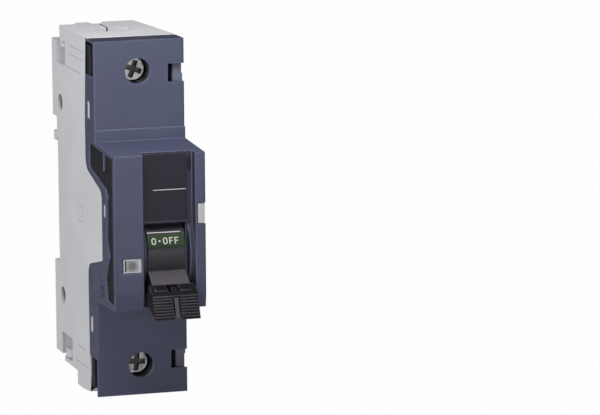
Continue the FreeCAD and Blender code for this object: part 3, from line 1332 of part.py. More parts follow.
def build_shrouds():
    roof, floor = "cover_top - cover_wall - shroud_gap", "-cover_low + cover_wall + shroud_gap"
    build_shroud("line", "line_z", "line_z - shroud_half", roof, "notch_line",
                 ("slot_high + shroud_gap", roof))
    build_shroud("load", "-load_z", floor, "-load_z + shroud_half", "-notch_load",
                 (floor, "-slot_low - shroud_gap"))


# Sliding clip

def build_rail_clip():
    """Sliding clip with a hook at its upper end, held in the grooves of the case."""
    body = new_body("rail_clip")
    back = "clip_front + clip_thick"
    through = ("0", "ear_back + 1")
    rails = ("-clip_half - clip_groove + clip_play", "clip_half + clip_groove - clip_play")
    add_block(body, "tongue", ("-clip_half + clip_play", "clip_half - clip_play"), ("clip_front", back),
              ("-clip_tail", "-rail_height / 2 + hook_grip"))
    add_block(body, "rails", rails,
              ("clip_front + groove_step + clip_play", back + " - groove_step - clip_play"),
              ("-foot_low + 1", "-foot_top - clip_travel"))
    cut_block(body, "spring_window", ("-window_half", "window_half"), through, ("-window_low", "-window_top"))
    cut_block(body, "driver_slot", ("-pry_half", "pry_half"), through,
              ("-clip_tail + pry_low", "-clip_tail + pry_low + pry_high"))
    subpart(body, "rail_clip")
    spring_of("rail_clip_spring", "z", ("0", "clip_front + clip_thick / 2"), "-peg_top", "-window_top")


CUTS = (
    "PartDesign::Pocket",
    "PartDesign::SubtractiveBox",
    "PartDesign::SubtractiveCylinder",
    "PartDesign::Groove",
)


def check_and_write():
    """Stops if anything failed, then writes each sub-part's solid to its own file."""
    doc.recompute()
    for item in doc.Objects:
        if "Invalid" in item.State or "Error" in item.State:
            raise SystemExit("failed object: %s (%s)" % (item.Name, item.Label))
        base = item.BaseFeature if item.TypeId in CUTS else None
        if base and item.Shape.Volume > base.Shape.Volume - 1e-6:
            body = item.getParentGeoFeatureGroup()
            raise SystemExit("a cut that removes nothing: %s in %s" % (item.Label, body.Label))
    os.makedirs("parts", exist_ok=True)
    for item in SUBPARTS:
        shape = item.Shape
        if shape.isNull() or not shape.isValid() or not shape.Solids:
            raise SystemExit("no valid solid in " + item.Label)
        shape.exportStep("parts/%s.step" % item.Label)
        print("%-24s solids %d volume %8.1f" % (item.Label, len(shape.Solids), shape.Volume))


def main():
    build_case_half("left_housing", -1)
    build_case_half("right_housing", 1)
    build_rivets()
    build_cover()
    build_cheek()
    build_label_plate()
    build_side_panel("left_side_panel", -1)
    build_side_panel("right_side_panel", 1)
    build_coupling_clip()
    build_test_button()
    build_toggle()
    build_padlock_tab()
    build_link()
    build_frame()
    build_contact_arm()
    build_fixed_contact()
    build_coil()
    build_arc_chute()
    build_trip_unit()
    build_braid()
    build_terminals()
    build_shrouds()
    build_rail_clip()
    check_and_write()


main()
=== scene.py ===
import bmesh
import bpy
import json
import math
from mathutils import Matrix, Vector


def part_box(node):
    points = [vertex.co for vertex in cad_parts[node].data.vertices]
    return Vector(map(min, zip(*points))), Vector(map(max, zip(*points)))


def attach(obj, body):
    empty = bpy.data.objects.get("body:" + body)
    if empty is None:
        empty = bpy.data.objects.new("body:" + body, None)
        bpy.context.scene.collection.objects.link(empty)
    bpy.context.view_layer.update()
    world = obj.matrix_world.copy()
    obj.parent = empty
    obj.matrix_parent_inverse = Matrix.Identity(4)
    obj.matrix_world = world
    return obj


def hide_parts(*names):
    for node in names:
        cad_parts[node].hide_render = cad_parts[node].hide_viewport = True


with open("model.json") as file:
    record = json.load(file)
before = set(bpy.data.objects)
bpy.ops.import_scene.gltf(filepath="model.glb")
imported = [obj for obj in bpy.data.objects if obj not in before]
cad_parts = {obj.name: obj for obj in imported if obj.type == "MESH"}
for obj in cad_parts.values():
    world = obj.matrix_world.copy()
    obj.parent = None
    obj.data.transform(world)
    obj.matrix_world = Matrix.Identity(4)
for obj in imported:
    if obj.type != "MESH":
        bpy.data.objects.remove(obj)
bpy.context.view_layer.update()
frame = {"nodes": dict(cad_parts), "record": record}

RECORD = frame["record"]
SLOT_OF = {part["node"]: part["material_slot"] for part in RECORD["subparts"]}
BODY_OF = {node: body for body, nodes in RECORD["behaviour"]["bodies"].items() for node in nodes}

# Lengths are metres: x to the breaker's right, y to its back, z up
LEFT, RIGHT = Vector((-1.0, 0.0, 0.0)), Vector((1.0, 0.0, 0.0))
FRONT, UP = Vector((0.0, -1.0, 0.0)), Vector((0.0, 0.0, 1.0))


# Node helpers

# Sockets of a colour mix, which share their names with sockets of other kinds
MIX_FACTOR, MIX_FIRST, MIX_SECOND = 0, 6, 7
MIX_COLOR = 2


class Tree:
    """A material's node tree, with short ways to add and join nodes."""

    def __init__(self, name):
        self.material = bpy.data.materials.new(name)
        self.material.use_nodes = True
        self.nodes = self.material.node_tree.nodes
        self.links = self.material.node_tree.links
        self.shader = self.nodes["Principled BSDF"]
        self.place = self.add("ShaderNodeTexCoord").outputs["Object"]

    def add(self, kind, **sockets):
        node = self.nodes.new(kind)
        for name, value in sockets.items():
            node.inputs[name].default_value = value
        return node

    def join(self, output, socket):
        self.links.new(output, socket)

    def noise(self, scale, detail=3.0, stretch=None):
        node = self.add("ShaderNodeTexNoise", Scale=scale, Detail=detail)
        if stretch:
            mapping = self.add("ShaderNodeMapping", Scale=stretch)
            self.join(self.place, mapping.inputs["Vector"])
            self.join(mapping.outputs["Vector"], node.inputs["Vector"])
        else:
            self.join(self.place, node.inputs["Vector"])
        return node.outputs["Fac"]

    def span(self, factor, low, high, start=0.35, end=0.65):
        """Spreads a factor's range from start to end over low to high."""
        node = self.add("ShaderNodeMapRange")
        node.inputs["From Min"].default_value = start
        node.inputs["From Max"].default_value = end
        node.inputs["To Min"].default_value = low
        node.inputs["To Max"].default_value = high
        self.join(factor, node.inputs["Value"])
        return node.outputs["Result"]

    def mix(self, factor, first, second):
        node = self.nodes.new("ShaderNodeMix")
        node.data_type = "RGBA"
        for index, value in ((MIX_FACTOR, factor), (MIX_FIRST, first), (MIX_SECOND, second)):
            if hasattr(value, "links"):
                self.join(value, node.inputs[index])
            else:
                node.inputs[index].default_value = value
        return node.outputs[MIX_COLOR]

    def bump(self, height, strength, depth):
        node = self.add("ShaderNodeBump", Strength=strength, Distance=depth)
        self.join(height, node.inputs["Height"])
        self.join(node.outputs["Normal"], self.shader.inputs["Normal"])


def rgba(color, gain=1.0):
    return (color[0] * gain, color[1] * gain, color[2] * gain, 1.0)


# Finishes

# Plastic: how far its roughness spreads below and above the middle, its flecks and its grain
MOTTLE_SCALE, GLOSS_SCALE = 55.0, 240.0
GLOSS_BELOW, GLOSS_ABOVE = 0.05, 0.07
FLECK_START, FLECK_END, FLECK_GAIN = 0.5, 0.8, 1.5
GRAIN_DEPTH = 0.00006

# Metal: the same of its streaks, which are also its relief
STREAK_SCALE, PATCH_SCALE = 900.0, 170.0
STREAK_BELOW, STREAK_ABOVE = 0.08, 0.14
STREAK_RELIEF, STREAK_DEPTH = 0.12, 0.00005

# Clear plastic: its clouds' gains, its darker middle, its haze and its ripples
CLOUD_SCALE, HAZE_SCALE, RIPPLE_SCALE = 300.0, 700.0, 1500.0
CLOUD_LOW, CLOUD_HIGH = 0.85, 1.1
MIDDLE_GAIN, MIDDLE_SHARE, MIDDLE_START, MIDDLE_END = 0.26, 0.85, 0.1, 0.7
CLEAR_ROUGH, HAZE_ABOVE, CLEAR_TRANSMISSION = 0.18, 0.12, 0.3
RIPPLE_RELIEF, RIPPLE_DEPTH = 0.08, 0.00004


def plastic(name, color, rough=0.42, grain=2600.0, relief=0.25, mottle=0.07, flecks=0.10, gloss=0.5):
    """Moulded plastic: fine grain, faint mottling and uneven gloss."""
    tree = Tree(name)
    cloud = tree.noise(MOTTLE_SCALE, detail=4.0)
    speck = tree.noise(grain, detail=2.0)
    uneven = tree.noise(GLOSS_SCALE)
    base = tree.mix(tree.span(cloud, 0.0, 1.0), rgba(color, 1 - mottle), rgba(color, 1 + mottle))
    share = tree.span(speck, 0.0, flecks, FLECK_START, FLECK_END)
    base = tree.mix(share, base, rgba(color, FLECK_GAIN))
    tree.join(base, tree.shader.inputs["Base Color"])
    dull = tree.span(uneven, rough - GLOSS_BELOW, rough + GLOSS_ABOVE)
    tree.join(dull, tree.shader.inputs["Roughness"])
    tree.shader.inputs["Specular IOR Level"].default_value = gloss
    tree.bump(speck, relief, GRAIN_DEPTH)
    return tree.material


def metal(name, color, rough=0.30, stretch=(1.0, 1.0, 0.06), wear=0.16):
    """Metal with drawn streaks and darker patches."""
    tree = Tree(name)
    streaks = tree.noise(STREAK_SCALE, stretch=stretch)
    patches = tree.noise(PATCH_SCALE, detail=4.0)
    base = tree.mix(tree.span(patches, 0.0, 1.0), rgba(color, 1 - wear), rgba(color))
    tree.join(base, tree.shader.inputs["Base Color"])
    dull = tree.span(streaks, rough - STREAK_BELOW, rough + STREAK_ABOVE)
    tree.join(dull, tree.shader.inputs["Roughness"])
    tree.shader.inputs["Metallic"].default_value = 1.0
    tree.bump(streaks, STREAK_RELIEF, STREAK_DEPTH)
    return tree.material


def clear(name, color, centre, reach):
    """Milky clear plastic, darker toward its middle."""
    tree = Tree(name)
    start = [-place / reach for place in centre]
    shift = tree.add("ShaderNodeMapping", Location=start, Scale=(1 / reach,) * 3)
    depth = tree.nodes.new("ShaderNodeTexGradient")
    depth.gradient_type = "SPHERICAL"
    tree.join(tree.place, shift.inputs["Vector"])
    tree.join(shift.outputs["Vector"], depth.inputs["Vector"])
    cloud = tree.span(tree.noise(CLOUD_SCALE), 0.0, 1.0)
    base = tree.mix(cloud, rgba(color, CLOUD_LOW), rgba(color, CLOUD_HIGH))
    inner = tree.span(depth.outputs["Fac"], 0.0, MIDDLE_SHARE, MIDDLE_START, MIDDLE_END)
    base = tree.mix(inner, base, rgba(color, MIDDLE_GAIN))
    tree.join(base, tree.shader.inputs["Base Color"])
    haze = tree.span(tree.noise(HAZE_SCALE), CLEAR_ROUGH, CLEAR_ROUGH + HAZE_ABOVE)
    tree.join(haze, tree.shader.inputs["Roughness"])
    tree.shader.inputs["Transmission Weight"].default_value = CLEAR_TRANSMISSION
    tree.bump(tree.noise(RIPPLE_SCALE), RIPPLE_RELIEF, RIPPLE_DEPTH)
    return tree.material


# Plastics of the record's slots, and below them those that paint() and some marks take, most of them
# painted shade and painted highlights
PLASTICS = {
    "case_grey": dict(color=(0.645, 0.648, 0.672), rough=0.55, mottle=0.035),
    "cover_slate": dict(color=(0.062, 0.0685, 0.117), mottle=0.06, flecks=0.22, gloss=0.35),
    "panel_black": dict(color=(0.014, 0.014, 0.018), rough=0.50, gloss=0.2),
    "toggle_dark": dict(
        color=(0.011, 0.010, 0.012), rough=0.38, grain=1500.0, relief=0.40, flecks=0.3, gloss=0.2),
    "band_green": dict(color=(0.012, 0.037, 0.008), rough=0.40),
    "band_red": dict(color=(0.400, 0.018, 0.014), rough=0.35),
    "tab_pale": dict(color=(0.56, 0.555, 0.53), rough=0.45, mottle=0.03),
    "label_slate": dict(color=(0.017, 0.0145, 0.024), gloss=0.3),
    "former_white": dict(color=(0.62, 0.61, 0.57), rough=0.5, mottle=0.04),
    "chute_fibre": dict(color=(0.36, 0.25, 0.15), rough=0.7, grain=900.0, relief=0.5, mottle=0.14),

    # A darker copy of the pale plastic: painted shade on the coupling clip's front faces, and the colour of
    # the button's rim
    "clip_pale": dict(color=(0.44, 0.44, 0.45), rough=0.5, mottle=0.04),
    # Painted shade: a darker copy of the case's grey for the floors and walls of the grip recesses
    "recess_painted_shade": dict(color=(0.430, 0.433, 0.455), rough=0.6, mottle=0.035),
    # Painted shade: a darker copy of the case's grey for the shallow grooves and the square outline on its
    # sides
    "groove_painted_shade": dict(color=(0.370, 0.372, 0.390), rough=0.6, mottle=0.035),
    # Painted shade: a darker copy of the cover's slate for its top face
    "cover_top_painted_shade": dict(color=(0.026, 0.028, 0.047), rough=0.5, gloss=0.3),
    # Painted shade: a darker copy of the slate for the channel's right wall and floor strip and for the
    # cheek
    "channel_painted_shade": dict(color=(0.030, 0.032, 0.052), rough=0.5, gloss=0.3),
    # Painted highlight: a lighter, mottled copy of the slate for the front faces of the cover's notches
    "notch_painted_highlight": dict(color=(0.110, 0.118, 0.170), mottle=0.16, flecks=0.3),
    "drum_speckled": dict(
        color=(0.026, 0.022, 0.028), rough=0.36, grain=1500.0, relief=0.5, flecks=1.0),
    # Painted highlight: a lighter, grainy copy of the toggle's black for the arm's top and the padlock
    # tab's end
    "arm_painted_highlight": dict(
        color=(0.062, 0.055, 0.064), rough=0.45, grain=1900.0, relief=0.5, mottle=0.12, flecks=0.6),
    # Painted highlight: a lighter copy of the toggle's black for the ridges of its ribs
    "rib_painted_highlight": dict(
        color=(0.034, 0.030, 0.036), grain=1500.0, relief=0.5, mottle=0.25, flecks=0.6),
    # Near black: painted shade in the toggle's ramps, over the tab's top, in the screws' ways, on the
    # ledges behind the side slots and in the parting line; also the square outline on the cover's side
    "black_and_painted_shade": dict(color=(0.005, 0.005, 0.006), rough=0.55, gloss=0.15),
}

# Metals of the record's slots, and below them the painted shade of the driver slots and of the rivets
METALS = {
    "screw_steel": dict(color=(0.62, 0.62, 0.64), rough=0.34, stretch=(1.0, 0.1, 1.0), wear=0.4),
    "cage_steel": dict(color=(0.52, 0.52, 0.51), rough=0.36, stretch=(0.1, 1.0, 1.0)),
    "frame_steel": dict(color=(0.46, 0.46, 0.46), rough=0.38),
    "spring_steel": dict(color=(0.50, 0.50, 0.52), rough=0.25),
    "copper": dict(color=(0.72, 0.34, 0.18)),
    "contact_silver": dict(color=(0.78, 0.77, 0.74), rough=0.22, stretch=(1.0, 1.0, 1.0)),
    "chute_steel": dict(color=(0.40, 0.38, 0.35), rough=0.45),
    "bimetal_strip": dict(color=(0.56, 0.50, 0.42), rough=0.33),

    "slot_painted_shade": dict(color=(0.10, 0.10, 0.10), rough=0.5),
    "rivet_painted_shade": dict(color=(0.24, 0.24, 0.25), rough=0.6),
}

# The clear button's colour, and how far its darker middle reaches
BUTTON_COLOR, BUTTON_REACH = (0.62, 0.62, 0.66), 0.0026
BUTTON_LOW, BUTTON_HIGH = (Vector(corner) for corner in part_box("test_button"))
BUTTON_FACE = (BUTTON_LOW + BUTTON_HIGH) / 2
BUTTON_FACE.y = BUTTON_LOW.y

LOOKS = {name: plastic(name, **look) for name, look in PLASTICS.items()}
LOOKS.update({name: metal(name, **look) for name, look in METALS.items()})
LOOKS["button_clear"] = clear("button_clear", BUTTON_COLOR, BUTTON_FACE, BUTTON_REACH)

# How much lighter the rounded edges are painted: a painted highlight along them
EDGE_HIGHLIGHT_GAINS = {"case_grey": 1.15, "cover_slate": 1.7, "panel_black": 3.0, "toggle_dark": 6.0, "label_slate": 2.6}

EDGE_HIGHLIGHTS = {}
for name, gain in EDGE_HIGHLIGHT_GAINS.items():
    lighter = tuple(min(1.0, part * gain) for part in PLASTICS[name]["color"])
    EDGE_HIGHLIGHTS[name] = plastic(name + "_edge", **{**PLASTICS[name], "color": lighter})


def new_piece(name, mesh, body, slot, look=None):
    """A piece that rides on a CAD body and takes its slot's finish, or another that is named."""
    piece = bpy.data.objects.new(name, mesh)
    bpy.context.scene.collection.objects.link(piece)
    mesh.materials.clear()
    mesh.materials.append(LOOKS[look or slot])
    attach(piece, body)
    return piece


# Pieces that stand for CAD nodes, with small rounds on their edges that carry a painted highlight

SAME_CORNER, SAME_PLANE, SHARP_EDGE = 2e-6, math.radians(0.6), math.radians(30.0)

# Room that a round needs on both faces and along its edge, in widths of the round
FACE_ROOM, EDGE_ROOM = 2.4, 1.2

# Width of the rounds on each piece
FINE = {
    "front_cover": 0.00014, "toggle": 0.00010, "label_plate": 0.00012,
    "left_side_panel": 0.00012, "right_side_panel": 0.00012, "coupling_clip": 0.00025,
    "toggle_cheek": 0.00015, "padlock_tab": 0.00012, "rail_clip": 0.0002,
    "line_terminal_shroud": 0.00015, "load_terminal_shroud": 0.00015,
    "line_terminal_cage": 0.0002, "load_terminal_cage": 0.0002,
}


def reach_across(face, edge):
    """How far a face extends from one of its edges."""
    start = edge.verts[0].co
    way = (edge.verts[1].co - start).normalized()
    return max(((corner.co - start) - way * (corner.co - start).dot(way)).length for corner in face.verts)


def choose_edges(work, width):
    """Gives a bevel weight to the sharp edges that have room for a round of this width."""
    weight = work.edges.layers.float.new("bevel_weight_edge")
    for edge in work.edges:
        if len(edge.link_faces) != 2 or edge.calc_face_angle(0.0) < SHARP_EDGE:
            continue
        room = min(reach_across(face, edge) for face in edge.link_faces)
        if room > FACE_ROOM * width and edge.calc_length() > EDGE_ROOM * width:
            edge[weight] = 1.0
        else:
            edge.smooth = False


def crisp(node, width):
    """A copy of a CAD node with flat faces merged and its free edges rounded, the rounds in a painted
    highlight.
    """
    mesh = frame["nodes"][node].data.copy()
    work = bmesh.new()
    work.from_mesh(mesh)
    bmesh.ops.remove_doubles(work, verts=work.verts, dist=SAME_CORNER)
    bmesh.ops.dissolve_limit(work, angle_limit=SAME_PLANE, verts=work.verts, edges=work.edges)
    choose_edges(work, width)
    for face in work.faces:
        face.smooth = True
    work.to_mesh(mesh)
    work.free()
    piece = new_piece("fine_" + node, mesh, BODY_OF[node], SLOT_OF[node])
    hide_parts(node)
    # The rounds take a lighter copy of the piece's finish: a painted highlight along its edges
    mesh.materials.append(EDGE_HIGHLIGHTS.get(SLOT_OF[node], LOOKS[SLOT_OF[node]]))
    bevel = piece.modifiers.new("rounds", "BEVEL")
    bevel.material = len(mesh.materials) - 1
    bevel.width = width
    bevel.segments = 2
    bevel.limit_method = "WEIGHT"
    bevel.use_clamp_overlap = False
    flatten = piece.modifiers.new("flat_faces", "WEIGHTED_NORMAL")
    flatten.mode = "FACE_AREA_WITH_ANGLE"
    flatten.weight = 100
    flatten.keep_sharp = True
    return piece


for name, item in frame["nodes"].items():
    item.data.materials.clear()
    item.data.materials.append(LOOKS[SLOT_OF[name]])
PIECES = {name: crisp(name, width) for name, width in FINE.items()}


# Faces that have a finish of their own, most of them painted shade and painted highlights

# How well a face has to look along a direction
SQUARELY, PARTLY, RAMP_LEAN, TAB_LEAN = 0.9, 0.5, 0.8, 0.4

# The toggle at rest: its drum and where marks lie on the bands, the arm's two directions,
# and distances along and above the arm
DRUM_AXIS = Vector((0.0, -0.0510, -0.0080))
DRUM_RADIUS, MARK_RADIUS, DRUM_SKIN = 0.0115, 0.01162, 0.0006
REST_TILT = math.radians(32.4)
ARM_AWAY = Vector((0.0, -math.cos(REST_TILT), -math.sin(REST_TILT)))
ARM_UP = Vector((0.0, -math.sin(REST_TILT), math.cos(REST_TILT)))
RAMP_ROOT, RAMP_END = 0.01700, 0.02035
PADDLE_BROW, PADDLE_TIP = Vector((0.02105, 0.00245)), Vector((0.02720, -0.00205))
RIB_NEAR, RIB_START = 0.00006, 0.0001

# A screw's driver slots, measured from its front and its axis, and the way in the shroud
SLOT_SHALLOW, SLOT_DEEP, SLOT_REACH = 0.0001, 0.0022, 0.0029
WAY_REACH = 0.0041

# The case: distances to the side from its middle plane, y of fronts and backs, heights from its middle
RECESS_DEEP, RECESS_RIM, BLOCK_SKIN = 0.0113, 0.01335, 0.0131
RECESS_CLIMB, RECESS_FRONT, STEP_FRONT = 0.0220, -0.016, -0.004
MARK_FLOOR, MARK_RIM = 0.01325, 0.01338
MARK_UNDER, MARK_OVER = 0.00001, 0.00002
LEDGE_FRONT, LEDGE_BACK, LEDGE_CLIMB = -0.0346, -0.0330, 0.036
PARTING_X, PARTING_WIDE, PARTING_LOW, PARTING_FRONT = -0.0018, 0.0003, 0.0497, -0.0045

# The cover: its top, the channel's right wall and floor strip, and the notches in its right edge
COVER_TOP = 0.0512
WALL_INNER, WALL_OUTER, WALL_FRONT, WALL_CLIMB = 0.0080, 0.0108, -0.045, 0.0235
STRIP_FRONT, STRIP_BACK, STRIP_REACH, STRIP_CLIMB = -0.0625, -0.048, 0.0108, 0.0215
NOTCH_FRONT, NOTCH_BACK, NOTCH_INNER, NOTCH_LOW, NOTCH_HIGH = -0.0415, -0.0400, 0.0105, 0.036, 0.047


def paint(piece, look, wanted):
    """Gives a finish to the faces whose middle and direction pass a test."""
    mesh = piece.data
    mesh.materials.append(LOOKS[look])
    index = len(mesh.materials) - 1
    for face in mesh.polygons:
        if wanted(face.center, face.normal):
            face.material_index = index


def every_face(middle, way):
    return True


def on_arm(point):
    """How far a point is out along the toggle's arm and above its axis."""
    away = point - DRUM_AXIS
    return Vector((away.dot(ARM_AWAY), away.dot(ARM_UP)))


def on_drum_skin(middle, way):
    return abs(on_arm(middle).length - DRUM_RADIUS) < DRUM_SKIN and abs(way.x) < PARTLY


def on_arm_top(middle, way):
    place = on_arm(middle)
    return way.dot(ARM_UP) > SQUARELY and place.x < RAMP_ROOT and place.length > DRUM_RADIUS


def on_ramps(middle, way):
    return way.dot(ARM_UP) > RAMP_LEAN and RAMP_ROOT < on_arm(middle).x < RAMP_END


def on_ribs(middle, way):
    """On the ridges of the ribbed face, but not in the grooves between them."""
    run = (PADDLE_TIP - PADDLE_BROW).normalized()
    off = on_arm(middle) - PADDLE_BROW
    return abs(off.x * run.y - off.y * run.x) < RIB_NEAR and off.dot(run) > RIB_START


def on_tab_top(middle, way):
    return way.dot(ARM_UP) > SQUARELY


def on_tab_end(middle, way):
    return way.dot(ARM_AWAY) > TAB_LEAN and way.dot(ARM_UP) < SQUARELY


def paint_toggle():
    """The toggle's speckled drum, a painted highlight on its arm and ribs, painted shade in its ramps, and
    on the padlock tab in it painted shade over its top and a painted highlight on its end.
    """
    toggle, tab = PIECES["toggle"], PIECES["padlock_tab"]
    paint(toggle, "drum_speckled", on_drum_skin)
    paint(toggle, "arm_painted_highlight", on_arm_top)
    paint(toggle, "black_and_painted_shade", on_ramps)
    paint(toggle, "rib_painted_highlight", on_ribs)
    paint(tab, "black_and_painted_shade", on_tab_top)
    paint(tab, "arm_painted_highlight", on_tab_end)


def paint_screw(end):
    """Painted shade in a terminal screw's driver slots and in the way that leads to it."""
    screw = end + "_terminal_screw"
    low, high = (Vector(corner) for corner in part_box(screw))
    axis = (low + high) / 2
    axis.y = 0.0

    def off_axis(middle):
        return (Vector((middle.x, 0.0, middle.z)) - axis).length

    def in_slots(middle, way):
        return low.y + SLOT_SHALLOW < middle.y < low.y + SLOT_DEEP and off_axis(middle) < SLOT_REACH

    def in_way(middle, way):
        return abs(way.y) < PARTLY and off_axis(middle) < WAY_REACH

    paint(frame["nodes"][screw], "slot_painted_shade", in_slots)
    paint(PIECES[end + "_terminal_shroud"], "black_and_painted_shade", in_way)


def paint_half(node, out):
    """Painted shade on a case half: in its recesses and its shallow lines, on the ledges behind the side
    slots, and in its parting line.
    """
    case = frame["nodes"][node]

    def in_recess(middle, way):
        inside = RECESS_DEEP < middle.dot(out) < RECESS_RIM
        block = way.dot(out) > SQUARELY and middle.dot(out) > BLOCK_SKIN
        step = way.dot(FRONT) > SQUARELY and middle.y < STEP_FRONT
        return inside and abs(middle.z) > RECESS_CLIMB and middle.y > RECESS_FRONT and not (block or step)

    def in_line(middle, way):
        inside = MARK_FLOOR - MARK_UNDER < middle.dot(out) < MARK_RIM
        return inside and (abs(way.x) < PARTLY or middle.dot(out) < MARK_FLOOR + MARK_OVER)

    def on_ledge(middle, way):
        inside = LEDGE_FRONT < middle.y < LEDGE_BACK and abs(middle.z) > LEDGE_CLIMB
        return inside and way.dot(FRONT) > SQUARELY and middle.dot(out) > RECESS_DEEP

    def in_parting(middle, way):
        inside = 0.0 < abs(middle.x - PARTING_X) < PARTING_WIDE and middle.z > PARTING_LOW
        return inside and abs(way.x) > SQUARELY and middle.y < PARTING_FRONT

    paint(case, "recess_painted_shade", in_recess)
    paint(case, "groove_painted_shade", in_line)
    paint(case, "black_and_painted_shade", on_ledge)
    paint(case, "black_and_painted_shade", in_parting)


def on_clip_front(middle, way):
    return way.dot(FRONT) > PARTLY


def on_cover_top(middle, way):
    return way.dot(UP) > SQUARELY and middle.z > COVER_TOP


def on_channel_wall(middle, way):
    inside = WALL_INNER < middle.x < WALL_OUTER and middle.y < WALL_FRONT and abs(middle.z) < WALL_CLIMB
    return inside and way.dot(LEFT) > SQUARELY


def on_channel_strip(middle, way):
    inside = STRIP_FRONT < middle.y < STRIP_BACK and abs(middle.z) < STRIP_CLIMB
    return inside and abs(middle.x) < STRIP_REACH and way.dot(FRONT) > SQUARELY


def on_notch_floor(middle, way):
    inside = NOTCH_FRONT < middle.y < NOTCH_BACK and NOTCH_LOW < abs(middle.z) < NOTCH_HIGH
    return inside and middle.x > NOTCH_INNER and way.dot(FRONT) > SQUARELY


def paint_cover():
    """Painted shade on the cover's top, its channel, the cheek in the channel and the clip's front faces,
    and a painted highlight on the cover's notches.
    """
    cover = PIECES["front_cover"]
    paint(cover, "cover_top_painted_shade", on_cover_top)
    paint(cover, "channel_painted_shade", on_channel_wall)
    paint(cover, "channel_painted_shade", on_channel_strip)
    paint(cover, "notch_painted_highlight", on_notch_floor)
    paint(PIECES["toggle_cheek"], "channel_painted_shade", every_face)
    # The clip's front faces take painted shade
    paint(PIECES["coupling_clip"], "clip_pale", on_clip_front)


paint_toggle()
paint_screw("line")
paint_screw("load")
paint_half("left_housing", LEFT)
paint_half("right_housing", RIGHT)
# The rivets are dull metal, darkened as painted shade of their heads down in the counterbores
paint(frame["nodes"]["housing_rivets"], "rivet_painted_shade", every_face)
paint_cover()


# Outlines of thin marks, as grids of (across, up) points

# How steeply a ring's sides leave the middle height
LEAN_GAIN = 3.0


def bar(left, right, low, high, steps=1):
    """A rectangle, cut into steps where it follows a curve."""
    across = [left + (right - left) * i / steps for i in range(steps + 1)]
    climb = [low + (high - low) * j / steps for j in range(steps + 1)]
    return [[(a, b) for b in climb] for a in across]


def outline(left, right, low, high, line, last_line):
    """The four bars round a rectangle; the right one has a width of its own."""
    inner_left, inner_right = left + line, right - last_line
    return [
        bar(left, inner_left, low, high),
        bar(inner_right, right, low, high),
        bar(inner_left, inner_right, low, low + line),
        bar(inner_left, inner_right, high - line, high),
    ]


def ring(left, right, low, high, inset, turns):
    """A narrow ring with round ends, drawn in by an inset."""
    across, climb = (left + right) / 2, (low + high) / 2
    half = (right - left) / 2
    straight, reach = (high - low) / 2 - half, half - inset
    points = []
    for k in range(turns + 1):
        angle = 2 * math.pi * k / turns
        lean = straight * max(-1.0, min(1.0, LEAN_GAIN * math.sin(angle)))
        points.append((across + reach * math.cos(angle), climb + lean + reach * math.sin(angle)))
    return points


def letter_o(left, right, low, high, stroke, turns=40):
    return [ring(left, right, low, high, inset, turns) for inset in (0.0, stroke)]


def disc(x, y, radius, turns=20):
    angles = [2 * math.pi * k / turns for k in range(turns + 1)]
    ring = [(x + radius * math.cos(angle), y + radius * math.sin(angle)) for angle in angles]
    return [ring, [(x, y)] * (turns + 1)]


def capsule(left, right, low, high, turns=24):
    """A filled slot with round ends."""
    across, climb = (left + right) / 2, (low + high) / 2
    straight = (high - low) / 2 - (right - left) / 2
    outer = ring(left, right, low, high, 0.0, turns)
    inner = [(across, max(climb - straight, min(climb + straight, b))) for _, b in outer]
    return [outer, inner]


# Surfaces that the marks lie on, and the plates laid on them

SAME_POINT = 1e-7


def on_drum(across, climb, lift):
    """A place on the drum's bands; climb is the way round them from the height of the axis."""
    angle = climb / MARK_RADIUS
    radius = MARK_RADIUS + lift
    return Vector((across, DRUM_AXIS.y - radius * math.cos(angle), DRUM_AXIS.z + radius * math.sin(angle)))


def on_front(level):
    """Places on a flat face that looks to the front."""
    return lambda across, up, lift: Vector((across, level - lift, up))


def on_left(level):
    """Places on a flat face that looks to the left."""
    return lambda across, up, lift: Vector((level - lift, across, up))


def plates(grids, place, lift):
    """Thin closed plates from grids of points, laid on a surface."""
    work = bmesh.new()
    for grid in grids:
        layers = []
        for height in (0.0, lift):
            layers.append([[work.verts.new(place(a, b, height)) for a, b in row] for row in grid])
        count, wide = len(grid), len(grid[0])
        for layer in layers:
            for i in range(count - 1):
                for j in range(wide - 1):
                    work.faces.new((layer[i][j], layer[i + 1][j], layer[i + 1][j + 1], layer[i][j + 1]))
        rim = [(i, 0) for i in range(count)] + [(count - 1, j) for j in range(1, wide)]
        rim += [(i, wide - 1) for i in range(count - 2, -1, -1)] + [(0, j) for j in range(wide - 2, 0, -1)]
        for (i, j), (m, n) in zip(rim, rim[1:] + rim[:1]):
            work.faces.new((layers[0][i][j], layers[0][m][n], layers[1][m][n], layers[1][i][j]))
    bmesh.ops.remove_doubles(work, verts=work.verts, dist=SAME_POINT)
    bmesh.ops.recalc_face_normals(work, faces=work.faces)
    mesh = bpy.data.meshes.new("sheet")
    work.to_mesh(mesh)
    work.free()
    return mesh


# Marks on the drum, the label, the channel's floor, the button and the cover's side

# Letters on the off band: left and right ends, and heights round the drum
LETTER_LOW, LETTER_HIGH, STROKE, LETTER_STEPS = 0.00352, 0.00548, 0.00030, 6
FIRST_O, SECOND_O = (-0.00208, -0.00072), (0.00132, 0.00262)
BOTH_F = ((0.00312, 0.00426), (0.00470, 0.00588))
F_SHORTER, F_BELOW, F_ABOVE = 0.0002, 0.6, 0.4
DOT_PLACE, DOT_RADIUS = 0.00028, 0.00029

